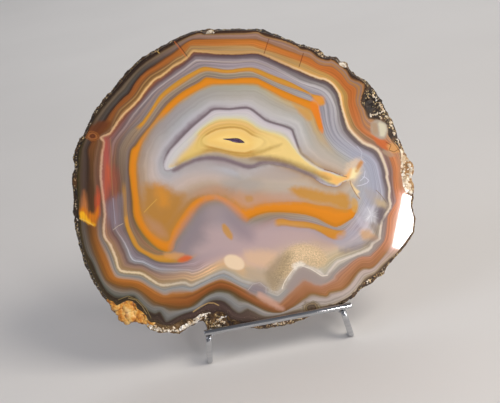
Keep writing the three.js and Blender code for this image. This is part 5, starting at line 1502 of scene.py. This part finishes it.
def gold_chalcedony():
    """Rounded knobs of honey-coloured chalcedony: waxy, with reddish spots, and painted shade darkening the
    hollows between them, low on each knob.
    """
    made, tree = material("honey_chalcedony")
    place = node(tree, "TexCoord", output="Object")
    spots = node(tree, "TexNoise",
                 {"Vector": place, "Scale": QUARTZ_SPOTS_PER_M, "Detail": 5.0, "Roughness": 0.65})
    base = band_ramp(tree, spots, "0:6c3414 .32:b0641c .42:dc9034 .52:f2b85c .64:ffd88c 1:fff0c8", 0, 1)
    broad = node(tree, "TexNoise", {"Vector": place, "Scale": GOLD_PATCHES_PER_M, "Detail": 2.0})
    reddish = node(tree, "MapRange", {0: broad, 1: 0.56, 2: 0.68, 4: 0.75})
    base = node(tree, "Mix", {0: reddish, 6: base, 7: colour("d0642c")}, 2, data_type="RGBA")
    # Painted shade: each knob darkens towards the bottom of its own form, where the hollows lie.
    crown = node(tree, "Attribute", output="Fac", attribute_name="crown")
    foot = node(tree, "MapRange", {0: crown, 1: 0.86, 2: 0.55, 4: 0.85})
    base = node(tree, "Mix", {0: foot, 6: base, 7: colour("6c3812")}, 2, data_type="RGBA")
    fine = node(tree, "TexNoise", {"Vector": place, "Scale": KNOB_GRAINS_PER_M, "Detail": 3.0})
    bump = node(tree, "Bump", {"Strength": 0.5, "Distance": SKIN_BUMP, "Height": fine})
    shader = node(tree, "BsdfPrincipled",
                  {"Base Color": base, "Roughness": 0.28, "IOR": QUARTZ_IOR, "Normal": bump})
    node(tree, "OutputMaterial", {0: shader})
    return made


def polished_metal():
    """Plated and polished steel: a near mirror, with faint wipe marks that break its reflections."""
    made, tree = material("polished_plated_steel")
    place = node(tree, "TexCoord", output="Object")
    stretched = node(tree, "VectorMath", {0: place, 1: WIPE_MARKS_PER_M}, operation="MULTIPLY")
    wipes = node(tree, "TexNoise", {"Vector": stretched, "Scale": 1.0, "Detail": 4.0})
    tint = band_ramp(tree, wipes, "0:a4a6ab .5:c4c6ca 1:e2e2e2", 0, 1)
    rough = node(tree, "MapRange", {0: wipes, 1: 0.3, 2: 0.7, 3: 0.05, 4: 0.16})
    shader = node(tree, "BsdfPrincipled", {"Base Color": tint, "Metallic": 1.0, "Roughness": rough})
    node(tree, "OutputMaterial", {0: shader})
    return made


# The stone's three materials. Its first faces are its flat sides, then come the slit's walls, then the rim.
FACE_SLOT, RIND_SLOT, CAVITY_SLOT = range(3)
for surface in (polished_agate, rough_rind, slit_walls_painted_shade):
    stone.data.materials.append(surface())
slots = np.full(len(stone.data.polygons), RIND_SLOT, np.int32)
slots[:flat_count] = FACE_SLOT
slots[flat_count:flat_count + SLIT_POINTS * (len(SLIT_DEPTHS) + 1)] = CAVITY_SLOT
stone.data.polygons.foreach_set("material_index", slots)
crystals.data.materials.append(quartz_crust())
knobs.data.materials.append(gold_chalcedony())
metal = polished_metal()
for piece in metal_pieces:
    piece.data.materials.append(metal)


# The pale floor (m), and the camera: the traced step that it faces, its view's and its sensor's width (mm)
FLOOR_HALF = 3.0
VIEW_MIDDLE = (250.0, 201.5)
VIEW_WIDTH = 250.0
SENSOR_WIDTH = 36.0
WORLD_STRENGTH = 0.74
# The bright lamp that the face mirrors at its right edge is turned by this much, with its glow round it.
MIRRORED_TURN = math.radians(-11.2)


def floor():
    mesh = bpy.data.meshes.new("floor")
    corners = [(-FLOOR_HALF, -FLOOR_HALF, 0), (FLOOR_HALF, -FLOOR_HALF, 0), (FLOOR_HALF, FLOOR_HALF, 0),
               (-FLOOR_HALF, FLOOR_HALF, 0)]
    mesh.from_pydata(corners, [], [(0, 1, 2, 3)])
    made = bpy.data.objects.new("floor", mesh)
    bpy.context.collection.objects.link(made)
    paper, tree = material("pale_matt_paper")
    fibres = node(tree, "TexNoise", {"Scale": PAPER_FIBRES_PER_M, "Detail": 3.0})
    tint = band_ramp(tree, fibres, "0:d8d6d4 1:e2e0de", 0, 1)
    shader = node(tree, "BsdfPrincipled", {"Base Color": tint, "Roughness": 0.85})
    node(tree, "OutputMaterial", {0: shader})
    mesh.materials.append(paper)


def parallel_to_face():
    """Axes along the face: right, up and out of it."""
    return Matrix((ACROSS, UPWARD, FORWARD)).transposed().to_4x4()


def area_light(name, where, size, power, code="ffffff", turned=None, spread=180):
    """A flat lamp in the slice's own directions (mm right of, above and before the face's middle), aimed at
    that middle unless it is turned another way. A spread below 180 degrees keeps its light off the floor."""
    lamp = bpy.data.lights.new(name, "AREA")
    lamp.shape = "RECTANGLE"
    lamp.size, lamp.size_y = size[0] * MM, size[1] * MM
    lamp.energy = power
    lamp.spread = math.radians(spread)
    lamp.color = colour(code)[:3]
    made = bpy.data.objects.new(name, lamp)
    place = Vector(in_place([where])[0])
    aim = Vector(in_place([(0, 0, 0)])[0]) - place
    turned = turned or aim.to_track_quat("-Z", "Y").to_matrix().to_4x4()
    made.matrix_world = Matrix.Translation(place) @ turned
    bpy.context.collection.objects.link(made)


def camera():
    seen = bpy.data.cameras.new("camera")
    seen.sensor_width = SENSOR_WIDTH
    seen.lens = SENSOR_WIDTH * VIEW_DISTANCE / VIEW_WIDTH
    made = bpy.data.objects.new("camera", seen)
    bpy.context.collection.objects.link(made)
    right, up = on_face(VIEW_MIDDLE)
    place = in_place([(right, up, VIEW_DISTANCE)])[0]
    made.matrix_world = Matrix.Translation(place) @ parallel_to_face()
    bpy.context.scene.camera = made


def soft_room():
    """Pale surroundings, brighter on the right."""
    world = bpy.data.worlds.new("soft_room")
    bpy.context.scene.world = world
    world.use_nodes = True
    tree = world.node_tree
    tree.nodes.clear()
    heading = node(tree, "TexCoord", output="Generated")
    side = node(tree, "VectorMath", {0: heading, 1: (0.8, -0.1, -0.5)}, 1, operation="DOT_PRODUCT")
    shade = band_ramp(tree, side, "-1:68686c -.4:7c7c80 0:a8a8ac .35:d4d4d8 .75:ffffff 1:ffffff", -1, 1)
    background = node(tree, "Background", {0: shade, 1: WORLD_STRENGTH})
    node(tree, "OutputWorld", {0: background})


floor()
camera()
mirrored = parallel_to_face() @ Matrix.Rotation(MIRRORED_TURN, 4, "Z")
area_light("window", (171.5, -33, 500), (40, 54), 0.34, turned=mirrored)
area_light("window_glow", (170, -33, 501), (45, 59), 0.035, "ffc4bc", mirrored)
area_light("window_haze", (169, -33, 502), (51, 65), 0.022, "ffb8b0", mirrored)
area_light("low_card", (330, -95, 316), (200, 90), 0.055, spread=70)
area_light("floor_light", (0, 1170, -760), (1300, 1300), 6.0, turned=Matrix.Identity(4))
area_light("soft_key", (500, 700, 600), (500, 500), 6.0, "fff6ea")
area_light("soft_fill", (-700, 300, 500), (500, 500), 1.4, "eef2ff")
soft_room()
bpy.context.scene.view_settings.view_transform = "Standard"
